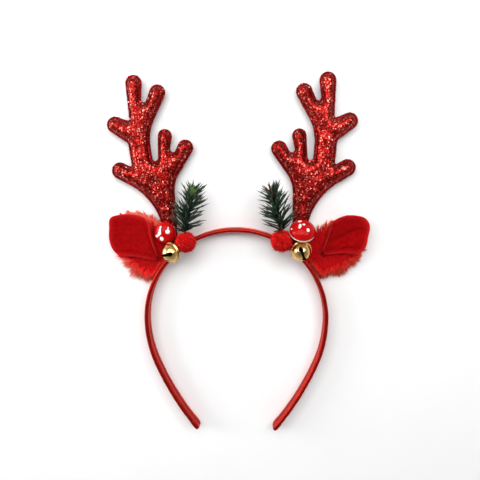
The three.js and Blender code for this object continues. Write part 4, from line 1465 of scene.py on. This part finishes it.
def bell(side):
    """A jingle bell: a thin plated shell with a rolled ridge, and a slot with round ends."""
    spot = SIDES[side]["bell"]
    pole = Vector(spot["pole"]).normalized()
    normal = Vector(spot["slot"]).cross(pole).normalized()
    basis = Matrix((pole.cross(normal), pole, normal)).transposed().to_4x4()
    place = mirror(side) @ Matrix.Translation(spot["middle"]) @ basis
    outer = []
    for angle in half_circle(BELL["rows"]):
        height = BELL["radius"] * math.sin(angle)
        groove = BELL["groove"] * bump_at(abs(height), BELL["groove_at"], BELL["groove_width"])
        ridge = BELL["ridge"] * (bump_at(height, 0, BELL["ridge_width"]) - groove)
        outer.append(((BELL["radius"] + ridge) * math.cos(angle), height))
    inner_radius = BELL["radius"] - BELL["wall"]
    angles = half_circle(BELL["inner_rows"])
    inner = [(inner_radius * math.cos(angle), inner_radius * math.sin(angle)) for angle in angles]
    shell = lathe("bell_shell", outer, BELL["sides"], Matrix.Identity(4))
    hollow = lathe("bell_hollow", inner, BELL["sides"], Matrix.Identity(4))
    cut = slot_cutter()
    for cutter in (hollow, cut):
        boolean = shell.modifiers.new("cut", "BOOLEAN")
        boolean.operation = "DIFFERENCE"
        boolean.solver = "EXACT"
        boolean.object = cutter
    made = frozen(shell, f"bell_{side}_shell")
    discard(hollow, cut)
    scale = Matrix.Scale(MM, 4)
    made.data.transform(scale @ place @ scale.inverted())
    if SIDES[side]["out"] < 0:
        made.data.flip_normals()
    made.data.set_sharp_from_angle(angle=math.radians(BELL["sharp"]))
    dress(made, GOLD, [f"bell_{side}"])
    # The inner faces take the dark brown: partly duller plating, mostly painted shade.
    made.data.materials.append(BELL_INSIDE_DULL_AND_SHADED)
    middle = on_side(side, spot["middle"])
    for face in made.data.polygons:
        inside = (face.center - middle).length < (inner_radius + BELL["inside"]) * MM
        face.material_index = 1 if inside else 0
    return made


def slot_cutter():
    """A tall plug with the outline of the bell's slot and its two round ends."""
    half = BELL["slot_length"] / 2
    end = BELL["end_radius"]
    reach = math.pi - math.asin(BELL["slot_width"] / 2 / end)
    steps = BELL["end_steps"]
    outline = []
    for sign in (1, -1):
        for i in range(steps + 1):
            angle = -reach + 2 * reach * i / steps
            outline.append((sign * (half + end * math.cos(angle)), sign * end * math.sin(angle)))
    points = [(x, height, z) for height in BELL["cut"] for x, z in outline]
    return build("slot_cutter", points, tube_faces(2, len(outline)))


# Camera, floor and light.
def camera():
    yaw = math.radians(VIEW["yaw"])
    rise = math.radians(VIEW["rise"])
    back = Vector((math.sin(yaw) * math.cos(rise), math.sin(rise), math.cos(yaw) * math.cos(rise)))
    side = Vector((0, 1, 0)).cross(back).normalized()
    turn = Matrix((side, back.cross(side), back)).transposed().to_4x4()
    data = bpy.data.cameras.new("camera")
    data.lens = VIEW["lens"]
    data.clip_start = VIEW["near"] * MM
    obj = bpy.data.objects.new("camera", data)
    obj.matrix_world = Matrix.Translation((Vector(VIEW["target"]) + back * VIEW["distance"]) * MM) @ turn
    bpy.context.scene.collection.objects.link(obj)
    bpy.context.scene.camera = obj


def lamp(name, place, size, power):
    """A square soft light that faces the middle of the headband."""
    data = bpy.data.lights.new(name, "AREA")
    data.size = size * MM
    data.energy = power
    obj = bpy.data.objects.new(name, data)
    obj.location = Vector(place) * MM
    obj.rotation_euler = (Vector(place) * -1).to_track_quat("-Z", "Y").to_euler()
    bpy.context.scene.collection.objects.link(obj)


def stage():
    """A plain floor in a pale studio, which is darker overhead, and its lamps."""
    rim = [(FLOOR["radius"] * x, FLOOR["radius"] * y, 0) for x, y in circle(FLOOR["sides"])]
    floor = build("floor", rim, [tuple(range(len(rim)))], closed=False)
    floor.data.materials.append(PALE_FLOOR)
    world = bpy.data.worlds.new("studio")
    world.use_nodes = True
    graph = Graph(world.node_tree)
    way = graph.add("ShaderNodeTexCoord").outputs["Generated"]
    rise = graph.add("ShaderNodeSeparateXYZ", {0: way}).outputs["Z"]
    glow = graph.ranged(rise, 0.0, 1.0, STUDIO["around"], STUDIO["overhead"])
    seen = graph.add("ShaderNodeLightPath").outputs["Is Camera Ray"]
    background = world.node_tree.nodes["Background"]
    graph.feed(background.inputs["Color"], (1, 1, 1, 1))
    graph.feed(background.inputs["Strength"], graph.ranged(seen, 0.0, 1.0, glow, STUDIO["backdrop"]))
    bpy.context.scene.world = world
    bpy.context.scene.view_settings.view_transform = "Standard"
    for name, row in LAMPS.items():
        lamp(name, *row)


camera()
stage()
hoop_piece = hoop()
for side in SIDES:
    antler_piece = antler(side)
    bell_piece = bell(side)
    cap_piece = mushroom(side)
    velvet_piece = velvet_ear(side)
    ear_fur(side, [velvet_piece, antler_piece, hoop_piece, bell_piece, cap_piece])
    pompom(side, [bell_piece, hoop_piece, cap_piece])
    sprig(side)
discard(STRAND, FUR_LOCK, YARN_LOCK, NEEDLE, FLAKE, STITCH)
